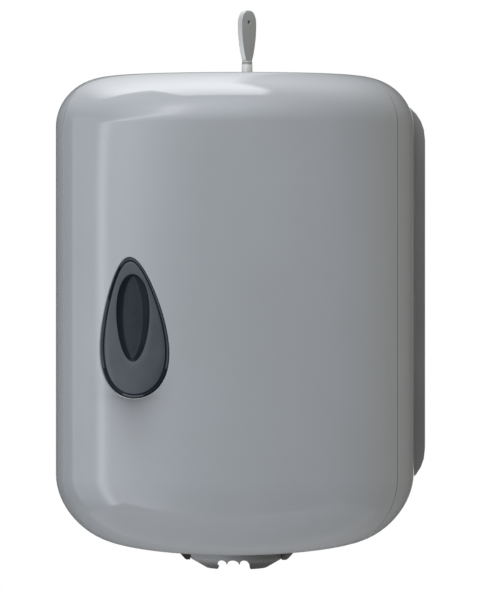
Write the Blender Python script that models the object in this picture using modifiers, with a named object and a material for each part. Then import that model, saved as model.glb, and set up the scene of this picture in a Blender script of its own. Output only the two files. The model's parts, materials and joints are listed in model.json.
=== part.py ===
# Wall-mounted centrefeed roll dispenser: a back housing with a roll shelf and nozzle,
# a domed front cover hinged at its lower rear edge, and a key lock at the top.
# Metres, +Z up. The origin is the centre of the housing's wall face and -Y is the front.

from math import copysign, cos, pi, radians, sin, sqrt

import bmesh
import bpy
from mathutils import Matrix, Vector

MM = 0.001

# Clearances and helper sizes
GAP = 0.3 * MM  # between pieces that seat on or run in each other
PLAY = 1.2 * MM  # between latch pieces that pass each other
OVERRUN = 6 * MM  # how far a cutter passes the wall it cuts
SINK = 1 * MM  # how far joined shapes reach into each other
SCREW_PILOT_SHARE = 0.72  # pilot hole radius over screw radius

# Front cover
COVER_WIDTH = 264 * MM
COVER_DEPTH = 188.5 * MM
COVER_TOP = 159 * MM  # top edge at the sides, above the origin
COVER_BOTTOM = 174.5 * MM  # bottom edge at the sides, below the origin
COVER_WALL = 2.8 * MM
TOP_FILLET = 36 * MM
BOTTOM_FILLET = 43 * MM
TOP_CROWN = 1 * MM
BOTTOM_CROWN = 13 * MM
FRONT_POWER = 2.19  # exponent of the plan curve across the width
SIDE_POWER = 6.25  # exponent of the plan curve along the depth
PLAN_STEPS = 44
FILLET_STEPS = 6
CAP_SHARES = (0.34, 0.68)  # rings between the rear centre and the fillet

# Back housing
TRAY_WIDTH = 279.4 * MM
TRAY_HEIGHT = 297 * MM
TRAY_DEPTH = 60.3 * MM
TRAY_CORNER = 30 * MM
TRAY_WALL = 2.6 * MM
TRAY_EDGE = 1.4 * MM
SEAT_INSET = 0.5 * MM  # of the upper seat plate, inside the cover's outline
SEAT_STEP = 0.4 * MM  # of the upper seat plate, behind the housing's front face
SEAT_WIDTH = 20 * MM  # of the flange that the cover's rim closes on
SEAT_OVERLAP = 30 * MM  # height of the seat plate behind the housing's upper wall
MOUNT_SPACING_X = 180 * MM
MOUNT_SPACING_Z = 190 * MM
WALL_SCREW_RADIUS = 2.6 * MM
WALL_SCREW_HEAD = 5.2 * MM
KEYHOLE_RISE = 11 * MM
SLOT_LENGTH = 9 * MM
RIB_THICKNESS = 2 * MM
RIB_HEIGHT = 7 * MM
RIB_LENGTH = 170 * MM
RIB_SPACING = 130 * MM

# Cover hinge, on the lower front of the housing
HINGE_FORWARD = 9.4 * MM  # axis in front of the cover's rim
HINGE_DROP = 174 * MM  # axis below the origin
HINGE_SPACING = 140 * MM
PIN_RADIUS = 2 * MM
PIN_LENGTH = 23 * MM
KNUCKLE_WIDTH = 12 * MM
KNUCKLE_RADIUS = 4.6 * MM
EAR_THICKNESS = 4 * MM
EAR_RADIUS = 4.4 * MM
EAR_ARM_HEIGHT = 11 * MM
EAR_ARM_DROP = 1.5 * MM  # underside of the arm below the housing's lower wall

# Roll shelf and nozzle
NOZZLE_FROM_WALL = 125 * MM
SHELF_RADIUS = 95 * MM
SHELF_THICKNESS = 3 * MM
SHELF_DROP = 131.5 * MM  # upper face below the origin
FUNNEL_RADIUS = 54 * MM
SOCKET_RADIUS = 39 * MM
SOCKET_WALL = 2.6 * MM
SOCKET_START = 164.5 * MM  # where the funnel ends, below the origin
SOCKET_END = 186.4 * MM
SHELF_FLANGE_WIDTH = 124 * MM
SHELF_FLANGE_HEIGHT = 38 * MM
SHELF_STANDOFF = 10 * MM  # boss height in front of the wall face
SHELF_BRIDGE = 46 * MM  # depth of the slab between flange and disc
SHELF_FACE_STEP = 0.3 * MM  # of that slab, inside the disc's faces
SCREW_EDGE = 14 * MM  # shelf screws from the flange's side edges
SCREW_SPACING_Z = 18 * MM
SCREW_MARGIN = 8 * MM  # upper screws below the flange's upper edge
SCREW_RADIUS = 2 * MM
SCREW_LENGTH = 9 * MM
SCREW_HEAD_RADIUS = 3.8 * MM
SCREW_HEAD_HEIGHT = 2.2 * MM
BOSS_RADIUS = 5 * MM
BOSS_HOLE_DEPTH = 7.5 * MM
GUSSET_THICKNESS = 3 * MM
GUSSET_DEPTH = 18 * MM
GUSSET_HEIGHT = 30 * MM

COLLAR_RADIUS = 42 * MM
COLLAR_TOP = 176 * MM
COLLAR_EDGE = 192.9 * MM
COLLAR_END = 197.2 * MM
COLLAR_TOE_RADIUS = 38.2 * MM
COLLAR_SHOULDER = 189.6 * MM
COLLAR_TAB_ANGLE = radians(30)  # of each of the two tabs below the ring
NOZZLE_RADIUS = 34.8 * MM
NOZZLE_WALL = 2 * MM
NOZZLE_CONE_TOP = 196 * MM
NOZZLE_LIP_RADIUS = 22.3 * MM
NOZZLE_END = 203.5 * MM
NOZZLE_HOLE_RADIUS = 14 * MM
NOZZLE_FLANGE_THICKNESS = 2.3 * MM
LUG_ANGLE = radians(24)  # of each of the two lugs that rest on the tabs
NOTCH_WIDTH = 24.6 * MM
NOTCH_TOP = 195.6 * MM
TOOTH_TIP = 199.2 * MM
TOOTH_SPACING = 8.8 * MM
NOTCH_CLEARANCE = 3.5 * MM  # beside and before the collar, in the cover
NOTCH_CORNER = 14 * MM
SCALLOP_STEPS = 6
SECTOR_STEPS = 10

# Lock in the top of the housing
LOCK_FROM_WALL = 14 * MM
LOCK_SIDE = 1.6 * MM  # axis to the right of the middle
TURRET_WIDTH = 40 * MM
TURRET_DEPTH = 34 * MM
TURRET_TOP = 162 * MM
TURRET_BACK_STEP = 0.6 * MM
BARREL_RADIUS = 8.8 * MM
BARREL_FLANGE_RADIUS = 11.5 * MM
BARREL_FLANGE_HEIGHT = 2.2 * MM
BARREL_END = 136 * MM  # lower end above the origin
LOCK_NUT_FLATS = 18.4 * MM
LOCK_NUT_HEIGHT = 3.4 * MM
PLUG_RADIUS = 6 * MM
PLUG_PROUD = 0.4 * MM
PLUG_END = 133 * MM
DRIVE_SIZE = 5 * MM  # across the flats of the key's square end
DRIVE_DEPTH = 10 * MM
CAM_LENGTH = 22 * MM
CAM_WIDTH = 10 * MM
CAM_THICKNESS = 2.5 * MM
CAM_SQUARE = 7 * MM
CAM_SCREW_RADIUS = 1.7 * MM
CAM_SCREW_LENGTH = 9 * MM
CAM_SCREW_HEAD = 6 * MM
CAM_SCREW_HEAD_HEIGHT = 2.4 * MM

# Key
KEY_TURN = radians(42)  # of the bow, seen from above
KEY_TOP = 220.3 * MM
KEY_BOW_BOTTOM = 180 * MM
KEY_BOW_WIDTH = 14.8 * MM
KEY_BOW_THICKNESS = 5.4 * MM
KEY_NECK_WIDTH = 5 * MM  # of the bow where it meets the shank
KEY_CROWN_POWER = 2.3  # exponent of the bow's upper outline
KEY_TAPER_POWER = 0.75  # exponent of its lower outline
KEY_SHANK_RADIUS = 4.2 * MM
KEY_HOLE_RADIUS = 1.3 * MM
KEY_HOLE_DROP = 9.3 * MM
KEY_WIDEST_SHARE = 0.72
KEY_EDGE = 0.7 * MM
BOW_STEPS = 11

# Latch tongue on the cover
TONGUE_OFFSET = 10 * MM  # inner face from the lock's axis plane
TONGUE_THICKNESS = 3 * MM
TONGUE_BAR = 3.2 * MM
TONGUE_REACH = 4.4 * MM  # rear end from the wall face
TONGUE_ARM = 12 * MM
TONGUE_FORWARD = 74 * MM  # rear of the foot from the wall face
FOOT_WIDTH = 28 * MM
FOOT_LENGTH = 24 * MM
FOOT_THICKNESS = 3 * MM
FOOT_DROP = 7.5 * MM  # below the cover's inner top
FOOT_SCREW_SPACING = 16 * MM
TONGUE_SCREW_LENGTH = 7 * MM

# Level window
WINDOW_HEIGHT = 100.3 * MM
WINDOW_WIDTH = 52.4 * MM
WINDOW_SIDE_SHARE = 0.2515  # of the cover's width, from the middle to the window's centre
WINDOW_DROP = 23.2 * MM  # centre below the origin
WINDOW_LEAN = 3.2 * MM
TEAR_SHARES = (0.943, -0.36, 0.07)
WINDOW_RECESS = 1 * MM
WINDOW_FLANGE = 4 * MM
WINDOW_FLANGE_THICKNESS = 2 * MM
WINDOW_STEPS = 36
OVAL_HEIGHT = 66.2 * MM
OVAL_WIDTH = 24.8 * MM
OVAL_SHARES = (1.0, 0.0, -0.28)
OVAL_RISE = 6.5 * MM  # centre above the window's centre
OVAL_DEPTH = 2 * MM
RETAINER_THICKNESS = 2 * MM
RETAINER_MARGIN = 11 * MM
RETAINER_BORDER = 6 * MM
POST_RADIUS = 2 * MM
POST_MARGIN = 7.5 * MM
POST_PROUD = 1.5 * MM
POST_TURNS = (0.14, 0.39, 0.61, 0.86)  # turns round the window from its top

# Worked-out places
RIM_Y = -(TRAY_DEPTH + GAP)
HINGE_Y = RIM_Y - HINGE_FORWARD
HINGE_Z = -HINGE_DROP
NOZZLE_Y = -NOZZLE_FROM_WALL
LOCK_X = LOCK_SIDE
LOCK_Y = -LOCK_FROM_WALL
WINDOW_X = -WINDOW_SIDE_SHARE * COVER_WIDTH
TRAY_TOP = TRAY_HEIGHT / 2
CAM_TOP = PLUG_END - GAP
CAM_BOTTOM = CAM_TOP - CAM_THICKNESS
SLOT_TOP = CAM_TOP + PLAY
SLOT_BOTTOM = CAM_BOTTOM - PLAY
COVER_INNER_TOP = COVER_TOP + TOP_CROWN - COVER_WALL

Y_TO_Z = Matrix.Rotation(pi / 2, 4, "X")  # outline drawn in X and Z, depth along Y
X_TO_Y = Matrix(((0, 0, 1, 0), (1, 0, 0, 0), (0, 1, 0, 0), (0, 0, 0, 1)))  # drawn in Y and Z


def clear_scene():
    for obj in list(bpy.data.objects):
        bpy.data.objects.remove(obj, do_unlink=True)


def new_collection(name):
    collection = bpy.data.collections.new(name)
    bpy.context.scene.collection.children.link(collection)
    return collection


clear_scene()
PARTS = new_collection("centrefeed_roll_dispenser")
TOOLS = new_collection("cutters")


def finish(name, colour, roughness, metallic=0.0):
    material = bpy.data.materials.new(name)
    material.use_nodes = True
    shader = material.node_tree.nodes["Principled BSDF"]
    shader.inputs["Base Color"].default_value = (*colour, 1)
    shader.inputs["Roughness"].default_value = roughness
    shader.inputs["Metallic"].default_value = metallic
    return material


def cover_plastic():
    return finish("cover_plastic", (0.33, 0.35, 0.37), 0.18)


def housing_plastic():
    return finish("housing_plastic", (0.14, 0.145, 0.145), 0.5)


def smoked_plastic():
    return finish("smoked_plastic", (0.04, 0.047, 0.056), 0.15)


def dark_plastic():
    return finish("dark_plastic", (0.03, 0.03, 0.028), 0.45)


def key_plastic():
    return finish("key_plastic", (0.27, 0.28, 0.28), 0.35)


def steel():
    return finish("steel", (0.62, 0.62, 0.61), 0.3, 1.0)


FINISHES = {
    "cover": cover_plastic(),
    "housing": housing_plastic(),
    "smoked": smoked_plastic(),
    "dark": dark_plastic(),
    "key": key_plastic(),
    "steel": steel(),
}


def add_object(name, mesh, finish_name=None):
    """A part when it has a finish, and otherwise a cutter or a shape to join."""
    obj = bpy.data.objects.new(name, mesh)
    if finish_name:
        PARTS.objects.link(obj)
        mesh.materials.append(FINISHES[finish_name])
        mesh.shade_smooth()
        mesh.set_sharp_from_angle(angle=radians(32))
    else:
        TOOLS.objects.link(obj)
        obj.hide_render = True
        obj.display_type = "WIRE"
    return obj


def mesh_of(name, bm):
    mesh = bpy.data.meshes.new(name)
    bm.to_mesh(mesh)
    bm.free()
    return mesh


def box_between(name, low, high, finish_name=None):
    size = Vector(high) - Vector(low)
    middle = (Vector(high) + Vector(low)) / 2
    bm = bmesh.new()
    bmesh.ops.create_cube(bm, size=1)
    bmesh.ops.scale(bm, vec=size, verts=bm.verts)
    bmesh.ops.translate(bm, vec=middle, verts=bm.verts)
    return add_object(name, mesh_of(name, bm), finish_name)


def rod_between(name, start, end, radius, sides=24, finish_name=None):
    """A cylinder, or a prism when it has few sides, from one point to another."""
    start, end = Vector(start), Vector(end)
    along = end - start
    turn = Vector((0, 0, 1)).rotation_difference(along).to_matrix().to_4x4()
    place = Matrix.Translation((start + end) / 2) @ turn
    bm = bmesh.new()
    bmesh.ops.create_cone(
        bm, cap_ends=True, segments=sides, radius1=radius, radius2=radius, depth=along.length
    )
    bmesh.ops.transform(bm, matrix=place, verts=bm.verts)
    return add_object(name, mesh_of(name, bm), finish_name)


def lock_rod(name, low, high, radius, sides=24, finish_name=None):
    """An upright rod on the lock's axis."""
    return rod_between(name, (LOCK_X, LOCK_Y, low), (LOCK_X, LOCK_Y, high), radius, sides, finish_name)


def prism(name, outline, depth, place, finish_name=None):
    """A flat outline as a filled 2D curve, extruded by depth about its own plane."""
    curve = bpy.data.curves.new(name, "CURVE")
    curve.dimensions = "2D"
    curve.fill_mode = "BOTH"
    curve.extrude = depth / 2
    spline = curve.splines.new("POLY")
    spline.points.add(len(outline) - 1)
    for point, (x, y) in zip(spline.points, outline):
        point.co = (x, y, 0, 1)
    spline.use_cyclic_u = True
    guide = bpy.data.objects.new(name + "_curve", curve)
    TOOLS.objects.link(guide)
    graph = bpy.context.evaluated_depsgraph_get()
    mesh = bpy.data.meshes.new_from_object(guide.evaluated_get(graph))
    bpy.data.objects.remove(guide, do_unlink=True)
    mesh.transform(place)
    bm = bmesh.new()
    bm.from_mesh(mesh)
    bmesh.ops.remove_doubles(bm, verts=bm.verts, dist=1e-6)
    bmesh.ops.recalc_face_normals(bm, faces=bm.faces)
    bm.to_mesh(mesh)
    bm.free()
    mesh.name = name
    return add_object(name, mesh, finish_name)


def turned(name, profile, centre, sides=64, finish_name=None):
    """A closed profile of (radius, height) pairs, screwed round the vertical through centre."""
    bm = bmesh.new()
    corners = [bm.verts.new((radius, 0, height)) for radius, height in profile]
    for first, second in zip(corners, corners[1:]):
        bm.edges.new((first, second))
    bm.edges.new((corners[-1], corners[0]))
    obj = add_object(name, mesh_of(name, bm), finish_name)
    obj.location = centre
    screw = obj.modifiers.new("Turn", "SCREW")
    screw.steps = sides
    screw.render_steps = sides
    screw.use_merge_vertices = True
    screw.merge_threshold = 1e-5
    screw.use_smooth_shade = True
    return obj


def boolean(obj, tool, operation):
    step = obj.modifiers.new(operation.title(), "BOOLEAN")
    step.operation = operation
    step.solver = "EXACT"
    step.object = tool
    return obj


def cut(obj, *tools):
    for tool in tools:
        boolean(obj, tool, "DIFFERENCE")


def join(obj, *tools):
    for tool in tools:
        boolean(obj, tool, "UNION")


def round_edges(obj, width, steps=2, angle=40):
    bevel = obj.modifiers.new("Edges", "BEVEL")
    bevel.width = width
    bevel.segments = steps
    bevel.limit_method = "ANGLE"
    bevel.angle_limit = radians(angle)
    bevel.use_clamp_overlap = True


def rounded_rectangle(half_width, low, high, radius, steps=7):
    """Corners of a rectangle with round corners, in order."""
    points = []
    centres = (
        (half_width - radius, high - radius, 0),
        (radius - half_width, high - radius, 1),
        (radius - half_width, low + radius, 2),
        (half_width - radius, low + radius, 3),
    )
    for x, z, quarter in centres:
        for step in range(steps + 1):
            angle = pi / 2 * (quarter + step / steps)
            points.append((x + radius * cos(angle), z + radius * sin(angle)))
    return points


def slab(name, outline, front, back, finish_name=None):
    """A prism of an outline in X and Z between two places along Y."""
    place = Matrix.Translation((0, (front + back) / 2, 0)) @ Y_TO_Z
    return prism(name, outline, abs(back - front), place, finish_name)


# Surface of the front cover


def signed_power(value, power):
    return copysign(abs(value) ** power, value)


def plan_point(turn):
    """A point of the cover's plan, from the right of the rim round the front to the left."""
    x = COVER_WIDTH / 2 * signed_power(cos(turn), 2 / FRONT_POWER)
    depth = COVER_DEPTH * abs(sin(turn)) ** (2 / SIDE_POWER)
    return x, depth


def cover_point(turn, inward, fillet, level, crown):
    """A surface point, moved in by the fillet's inward share and up or down to its level."""
    x, depth = plan_point(turn)
    x *= 1 - inward * fillet / (COVER_WIDTH / 2)
    depth *= 1 - inward * fillet / COVER_DEPTH
    bulge = crown * (1 - (x / (COVER_WIDTH / 2)) ** 2)
    return Vector((x, RIM_Y - depth, level + bulge))


def cover_rows():
    """Rows of the cover's outside, each a function of the turn, from the bottom up."""
    rows = []
    quarter = [pi / 2 * step / FILLET_STEPS for step in range(FILLET_STEPS + 1)]

    def flat_row(share, fillet, level, crown):
        def row(turn):
            point = cover_point(turn, 1, fillet, level, 0)
            x = point.x * share
            y = RIM_Y + (point.y - RIM_Y) * share
            return Vector((x, y, level + crown * (1 - (x / (COVER_WIDTH / 2)) ** 2)))

        return row

    def fillet_row(angle, fillet, level, crown, up):
        height = level - up * fillet * (1 - sin(angle))

        def row(turn):
            return cover_point(turn, 1 - cos(angle), fillet, height, crown * sin(angle))

        return row

    for share in CAP_SHARES:
        rows.append(flat_row(share, BOTTOM_FILLET, -COVER_BOTTOM, -BOTTOM_CROWN))
    for angle in reversed(quarter):
        rows.append(fillet_row(angle, BOTTOM_FILLET, -COVER_BOTTOM, -BOTTOM_CROWN, -1))
    for angle in quarter:
        rows.append(fillet_row(angle, TOP_FILLET, COVER_TOP, TOP_CROWN, 1))
    for share in reversed(CAP_SHARES):
        rows.append(flat_row(share, TOP_FILLET, COVER_TOP, TOP_CROWN))
    return rows


def cover_skin(name, inset, thickness, finish_name=None):
    """The cover's surface moved in by inset, and given a thickness inwards."""
    bm = bmesh.new()
    turns = [pi * step / PLAN_STEPS for step in range(PLAN_STEPS + 1)]
    grid = [[bm.verts.new(row(turn)) for turn in turns] for row in cover_rows()]
    low_centre = bm.verts.new((0, RIM_Y, -COVER_BOTTOM - BOTTOM_CROWN))
    high_centre = bm.verts.new((0, RIM_Y, COVER_TOP + TOP_CROWN))
    for lower, upper in zip(grid, grid[1:]):
        for step in range(PLAN_STEPS):
            bm.faces.new((lower[step + 1], lower[step], upper[step], upper[step + 1]))
    for step in range(PLAN_STEPS):
        bm.faces.new((low_centre, grid[0][step], grid[0][step + 1]))
        bm.faces.new((grid[-1][step + 1], grid[-1][step], high_centre))
    bmesh.ops.recalc_face_normals(bm, faces=bm.faces)
    bm.normal_update()
    if grid[len(grid) // 2][PLAN_STEPS // 2].normal.y > 0:
        bmesh.ops.reverse_faces(bm, faces=bm.faces)
        bm.normal_update()
    for vert in bm.verts:
        on_rim = abs(vert.co.y - RIM_Y) < SINK
        vert.co -= vert.normal * inset
        if on_rim:
            vert.co.y = RIM_Y
    obj = add_object(name, mesh_of(name, bm), finish_name)
    shell = obj.modifiers.new("Shell", "SOLIDIFY")
    shell.thickness = thickness
    shell.offset = -1
    shell.use_even_offset = True
    return obj


def surface_y(x):
    """Y of the cover's upright outside at a place across its width."""
    across = abs(x / (COVER_WIDTH / 2)) ** FRONT_POWER
    return RIM_Y - COVER_DEPTH * (1 - across) ** (1 / SIDE_POWER)


def window_frame():
    """Place of the window: its centre on the surface, X along the surface, Z outwards."""
    x = WINDOW_X
    step = WINDOW_WIDTH / 2
    slope = (surface_y(x + step) - surface_y(x - step)) / (2 * step)
    along = Vector((1, slope, 0)).normalized()
    up = Vector((0, 0, 1))
    out = along.cross(up)
    turn = Matrix((along, up, out)).transposed().to_4x4()
    return Matrix.Translation((x, surface_y(x), -WINDOW_DROP)) @ turn


def drop_outline(width, height, shares, rise=0.0, margin=0.0, lean=0.0):
    """A drop: half width is a sine, swelled towards one end by the shares of the cosine."""
    points = []
    for step in range(WINDOW_STEPS):
        angle = 2 * pi * step / WINDOW_STEPS
        level = cos(angle)
        swell = sum(share * level**power for power, share in enumerate(shares))
        shift = -lean * ((1 + level) / 2) ** 2
        x = shift + (width / 2 + margin) * sin(angle) * swell
        z = rise + (height / 2 + margin) * level
        points.append((x, z))
    return points


def window_outline(margin=0.0):
    return drop_outline(WINDOW_WIDTH, WINDOW_HEIGHT, TEAR_SHARES, 0.0, margin, WINDOW_LEAN)


def window_prism(name, outline):
    """An outline in the window's plane, extruded through the cover's wall."""
    reach = WINDOW_WIDTH / 2
    return prism(name, outline, 2 * reach, window_frame())


# Back housing


def hinge_sides():
    return (-HINGE_SPACING / 2, HINGE_SPACING / 2)


def hinge_ears():
    """Four ears, two at each hinge, that hang from the housing's lower flange."""
    top = -TRAY_TOP + EAR_ARM_HEIGHT - EAR_ARM_DROP
    under = -TRAY_TOP - EAR_ARM_DROP
    front = HINGE_Y - EAR_RADIUS
    outline = [(-TRAY_DEPTH + SINK, top), (front, top)]
    for step in range(9):
        angle = pi + pi * step / 8
        outline.append((HINGE_Y + EAR_RADIUS * cos(angle), HINGE_Z + EAR_RADIUS * sin(angle)))
    outline += [(HINGE_Y + EAR_RADIUS, under), (-TRAY_DEPTH + SINK, under)]
    offset = (KNUCKLE_WIDTH + EAR_THICKNESS) / 2 + GAP
    ears = []
    for side in hinge_sides():
        for move in (-offset, offset):
            place = Matrix.Translation((side + move, 0, 0)) @ X_TO_Y
            ears.append(prism("hinge_ear", outline, EAR_THICKNESS, place))
    return ears


def pin_bore(side):
    reach = PIN_LENGTH / 2 + OVERRUN
    start = (side - reach, HINGE_Y, HINGE_Z)
    end = (side + reach, HINGE_Y, HINGE_Z)
    return rod_between("pin_bore", start, end, PIN_RADIUS + GAP)


def shelf_screw_places():
    """Centres of the four shelf screws in X and Z."""
    top = -SHELF_DROP + SHELF_FLANGE_HEIGHT - SCREW_MARGIN
    side = SHELF_FLANGE_WIDTH / 2 - SCREW_EDGE
    return [(x, z) for z in (top, top - SCREW_SPACING_Z) for x in (-side, side)]


def seat_plate():
    """The plate behind the cover's top rim, above the housing's upper wall."""
    half = COVER_WIDTH / 2 - SEAT_INSET
    low, high = TRAY_TOP - SEAT_OVERLAP, COVER_TOP - SEAT_INSET
    around = rounded_rectangle(half, -high, high, TOP_FILLET - SEAT_INSET)
    outline = [(half, low)] + [(x, z) for x, z in around if z > low] + [(-half, low)]
    front = -TRAY_DEPTH + SEAT_STEP
    return slab("seat_plate", outline, front, front + TRAY_WALL)


def keyhole(x, z):
    """Tools for one upper hanging hole: a round hole for the head and a slot above it."""
    deep = TRAY_WALL + OVERRUN
    head = rod_between("keyhole_head", (x, OVERRUN, z), (x, -deep, z), WALL_SCREW_HEAD)
    slot = rounded_rectangle(
        WALL_SCREW_RADIUS, z, z + KEYHOLE_RISE, WALL_SCREW_RADIUS * (1 - SINK / COVER_WIDTH), 5
    )
    shifted = [(x + across, height) for across, height in slot]
    return head, slab("keyhole_slot", shifted, -deep, OVERRUN)


def level_slot(x, z):
    """A lower screw slot, long across, so that the housing can be levelled."""
    radius = WALL_SCREW_RADIUS * (1 - SINK / COVER_WIDTH)
    outline = rounded_rectangle(SLOT_LENGTH / 2, z - WALL_SCREW_RADIUS, z + WALL_SCREW_RADIUS, radius, 5)
    shifted = [(x + across, height) for across, height in outline]
    return slab("level_slot", shifted, -TRAY_WALL - OVERRUN, OVERRUN)


def back_housing():
    outline = rounded_rectangle(TRAY_WIDTH / 2, -TRAY_TOP, TRAY_TOP, TRAY_CORNER)
    tray = slab("back_housing", outline, -TRAY_DEPTH, 0, "housing")
    round_edges(tray, TRAY_EDGE)
    half_turret = TURRET_WIDTH / 2
    turret = box_between(
        "lock_turret",
        (LOCK_X - half_turret, -TURRET_DEPTH, TRAY_TOP - TRAY_WALL - SINK),
        (LOCK_X + half_turret, -TURRET_BACK_STEP, TURRET_TOP),
    )
    round_edges(turret, TRAY_EDGE)
    join(tray, seat_plate(), turret)
    inner = rounded_rectangle(
        TRAY_WIDTH / 2 - TRAY_WALL, TRAY_WALL - TRAY_TOP, TRAY_TOP - TRAY_WALL, TRAY_CORNER - TRAY_WALL
    )
    cavity = slab("tray_cavity", inner, TRAY_WALL - TRAY_DEPTH, -TRAY_WALL)
    mouth_outline = rounded_rectangle(
        TRAY_WIDTH / 2 - SEAT_WIDTH, -TRAY_TOP + SEAT_WIDTH - EAR_ARM_HEIGHT + SINK * 3,
        TRAY_TOP - TRAY_WALL - SINK / 2, TRAY_CORNER - TRAY_WALL - SINK,
    )
    mouth = slab("tray_mouth", mouth_outline, -TRAY_DEPTH - OVERRUN, -TRAY_DEPTH / 2)
    well = box_between(
        "turret_well",
        (LOCK_X + TRAY_WALL - half_turret, TRAY_WALL - TURRET_DEPTH, TRAY_TOP - TRAY_WALL - OVERRUN),
        (LOCK_X + half_turret - TRAY_WALL, -TURRET_BACK_STEP - TRAY_WALL, TURRET_TOP - TRAY_WALL),
    )
    barrel_hole = lock_rod("barrel_hole", TRAY_TOP, TURRET_TOP + OVERRUN, BARREL_RADIUS + GAP, 32)
    cut(tray, cavity, mouth, well, barrel_hole)
    for side in (-RIB_SPACING / 2, RIB_SPACING / 2):
        rib = box_between(
            "back_rib",
            (side - RIB_THICKNESS / 2, -TRAY_WALL - RIB_HEIGHT, -RIB_LENGTH / 2 + GUSSET_HEIGHT),
            (side + RIB_THICKNESS / 2, -TRAY_WALL / 2, RIB_LENGTH / 2 + GUSSET_HEIGHT),
        )
        join(tray, rib)
    for x, z in shelf_screw_places():
        boss = rod_between("shelf_boss", (x, -TRAY_WALL / 2, z), (x, -SHELF_STANDOFF, z), BOSS_RADIUS)
        join(tray, boss)
    join(tray, *hinge_ears())
    cut(tray, *[pin_bore(side) for side in hinge_sides()])
    for x, z in shelf_screw_places():
        end = -SHELF_STANDOFF + BOSS_HOLE_DEPTH
        start = -SHELF_STANDOFF - OVERRUN
        cut(tray, rod_between("boss_hole", (x, start, z), (x, end, z), SCREW_RADIUS + GAP, 16))
    for side in (-MOUNT_SPACING_X / 2, MOUNT_SPACING_X / 2):
        cut(tray, *keyhole(side, MOUNT_SPACING_Z / 2), level_slot(side, -MOUNT_SPACING_Z / 2))
    return tray


# Roll shelf, collar and nozzle


def roll_shelf():
    top, under = -SHELF_DROP, -SHELF_DROP - SHELF_THICKNESS
    inside = SOCKET_RADIUS - SOCKET_WALL
    profile = [
        (SHELF_RADIUS, top),
        (SHELF_RADIUS, under),
        (FUNNEL_RADIUS + SHELF_THICKNESS, under),
        (SOCKET_RADIUS, -SOCKET_START),
        (SOCKET_RADIUS, -SOCKET_END),
        (inside, -SOCKET_END),
        (inside, -SOCKET_START + SHELF_THICKNESS),
        (FUNNEL_RADIUS, top),
    ]
    shelf = turned("roll_shelf", profile, (0, NOZZLE_Y, 0), 64, "cover")
    half = SHELF_FLANGE_WIDTH / 2
    back = -SHELF_STANDOFF - GAP
    low, high = under + SHELF_FACE_STEP, top - SHELF_FACE_STEP
    bridge = box_between("shelf_bridge", (-half, back - SHELF_BRIDGE, low), (half, back, high))
    flange = box_between(
        "shelf_flange",
        (-half, back - SHELF_THICKNESS, (low + high) / 2),
        (half, back - SINK / 4, top + SHELF_FLANGE_HEIGHT),
    )
    join(shelf, bridge, flange)
    heel = back - SHELF_THICKNESS / 2
    outline = [
        (heel, top - SHELF_THICKNESS / 2),
        (heel - GUSSET_DEPTH, top - SHELF_THICKNESS / 2),
        (heel, top + GUSSET_HEIGHT),
    ]
    for side in (-1, 1):
        x = side * (half - GUSSET_THICKNESS)
        join(shelf, prism("gusset", outline, GUSSET_THICKNESS, Matrix.Translation((x, 0, 0)) @ X_TO_Y))
    for x, z in shelf_screw_places():
        hole = rod_between("flange_hole", (x, OVERRUN, z), (x, -SHELF_BRIDGE, z), SCREW_RADIUS + GAP, 16)
        cut(shelf, hole)
    return shelf


def shelf_screw(number, x, z):
    seat = -SHELF_STANDOFF - 2 * GAP - SHELF_THICKNESS
    head = seat - SCREW_HEAD_HEIGHT
    name = f"shelf_screw_{number}"
    obj = rod_between(name, (x, head, z), (x, seat, z), SCREW_HEAD_RADIUS, 20, "steel")
    join(obj, rod_between("screw_shank", (x, seat - SINK, z), (x, seat + SCREW_LENGTH, z), SCREW_RADIUS, 12))
    return obj


def sector(name, inner, outer, middle, width, low, high):
    """A piece of a ring about the nozzle's axis, given by its middle angle and width."""
    arc = [middle - width / 2 + width * step / SECTOR_STEPS for step in range(SECTOR_STEPS + 1)]
    outline = [(outer * cos(angle), outer * sin(angle)) for angle in arc]
    outline += [(inner * cos(angle), inner * sin(angle)) for angle in reversed(arc)]
    place = Matrix.Translation((0, NOZZLE_Y, (low + high) / 2))
    return prism(name, outline, abs(high - low), place)


def nozzle_collar():
    """The ring round the socket, with a tab at each side that carries a lug of the nozzle."""
    bore = NOZZLE_RADIUS + GAP
    sleeve = SOCKET_RADIUS + GAP
    profile = [
        (COLLAR_RADIUS, -COLLAR_TOP),
        (COLLAR_RADIUS, -COLLAR_EDGE),
        (COLLAR_TOE_RADIUS, -COLLAR_END),
        (bore, -COLLAR_END),
        (bore, -COLLAR_SHOULDER),
        (sleeve, -COLLAR_SHOULDER),
        (sleeve, -COLLAR_TOP),
    ]
    collar = turned("nozzle_collar", profile, (0, NOZZLE_Y, 0), 64, "dark")
    outer = COLLAR_RADIUS + OVERRUN
    low, high = -COLLAR_END - OVERRUN, -COLLAR_SHOULDER + GAP
    for angle in (pi / 2, -pi / 2):
        cut(collar, sector("tab_gap", bore - OVERRUN, outer, angle, pi - COLLAR_TAB_ANGLE, low, high))
    return collar


def scallop(points, start, end, bottom):
    """Adds a rounded gap between two places across the nozzle."""
    middle, reach = (start + end) / 2, (end - start) / 2
    for step in range(1, SCALLOP_STEPS):
        angle = pi * (1 - step / SCALLOP_STEPS)
        height = -bottom + (bottom - NOTCH_TOP) * sin(angle)
        points.append((middle + reach * cos(angle), height))


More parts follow.
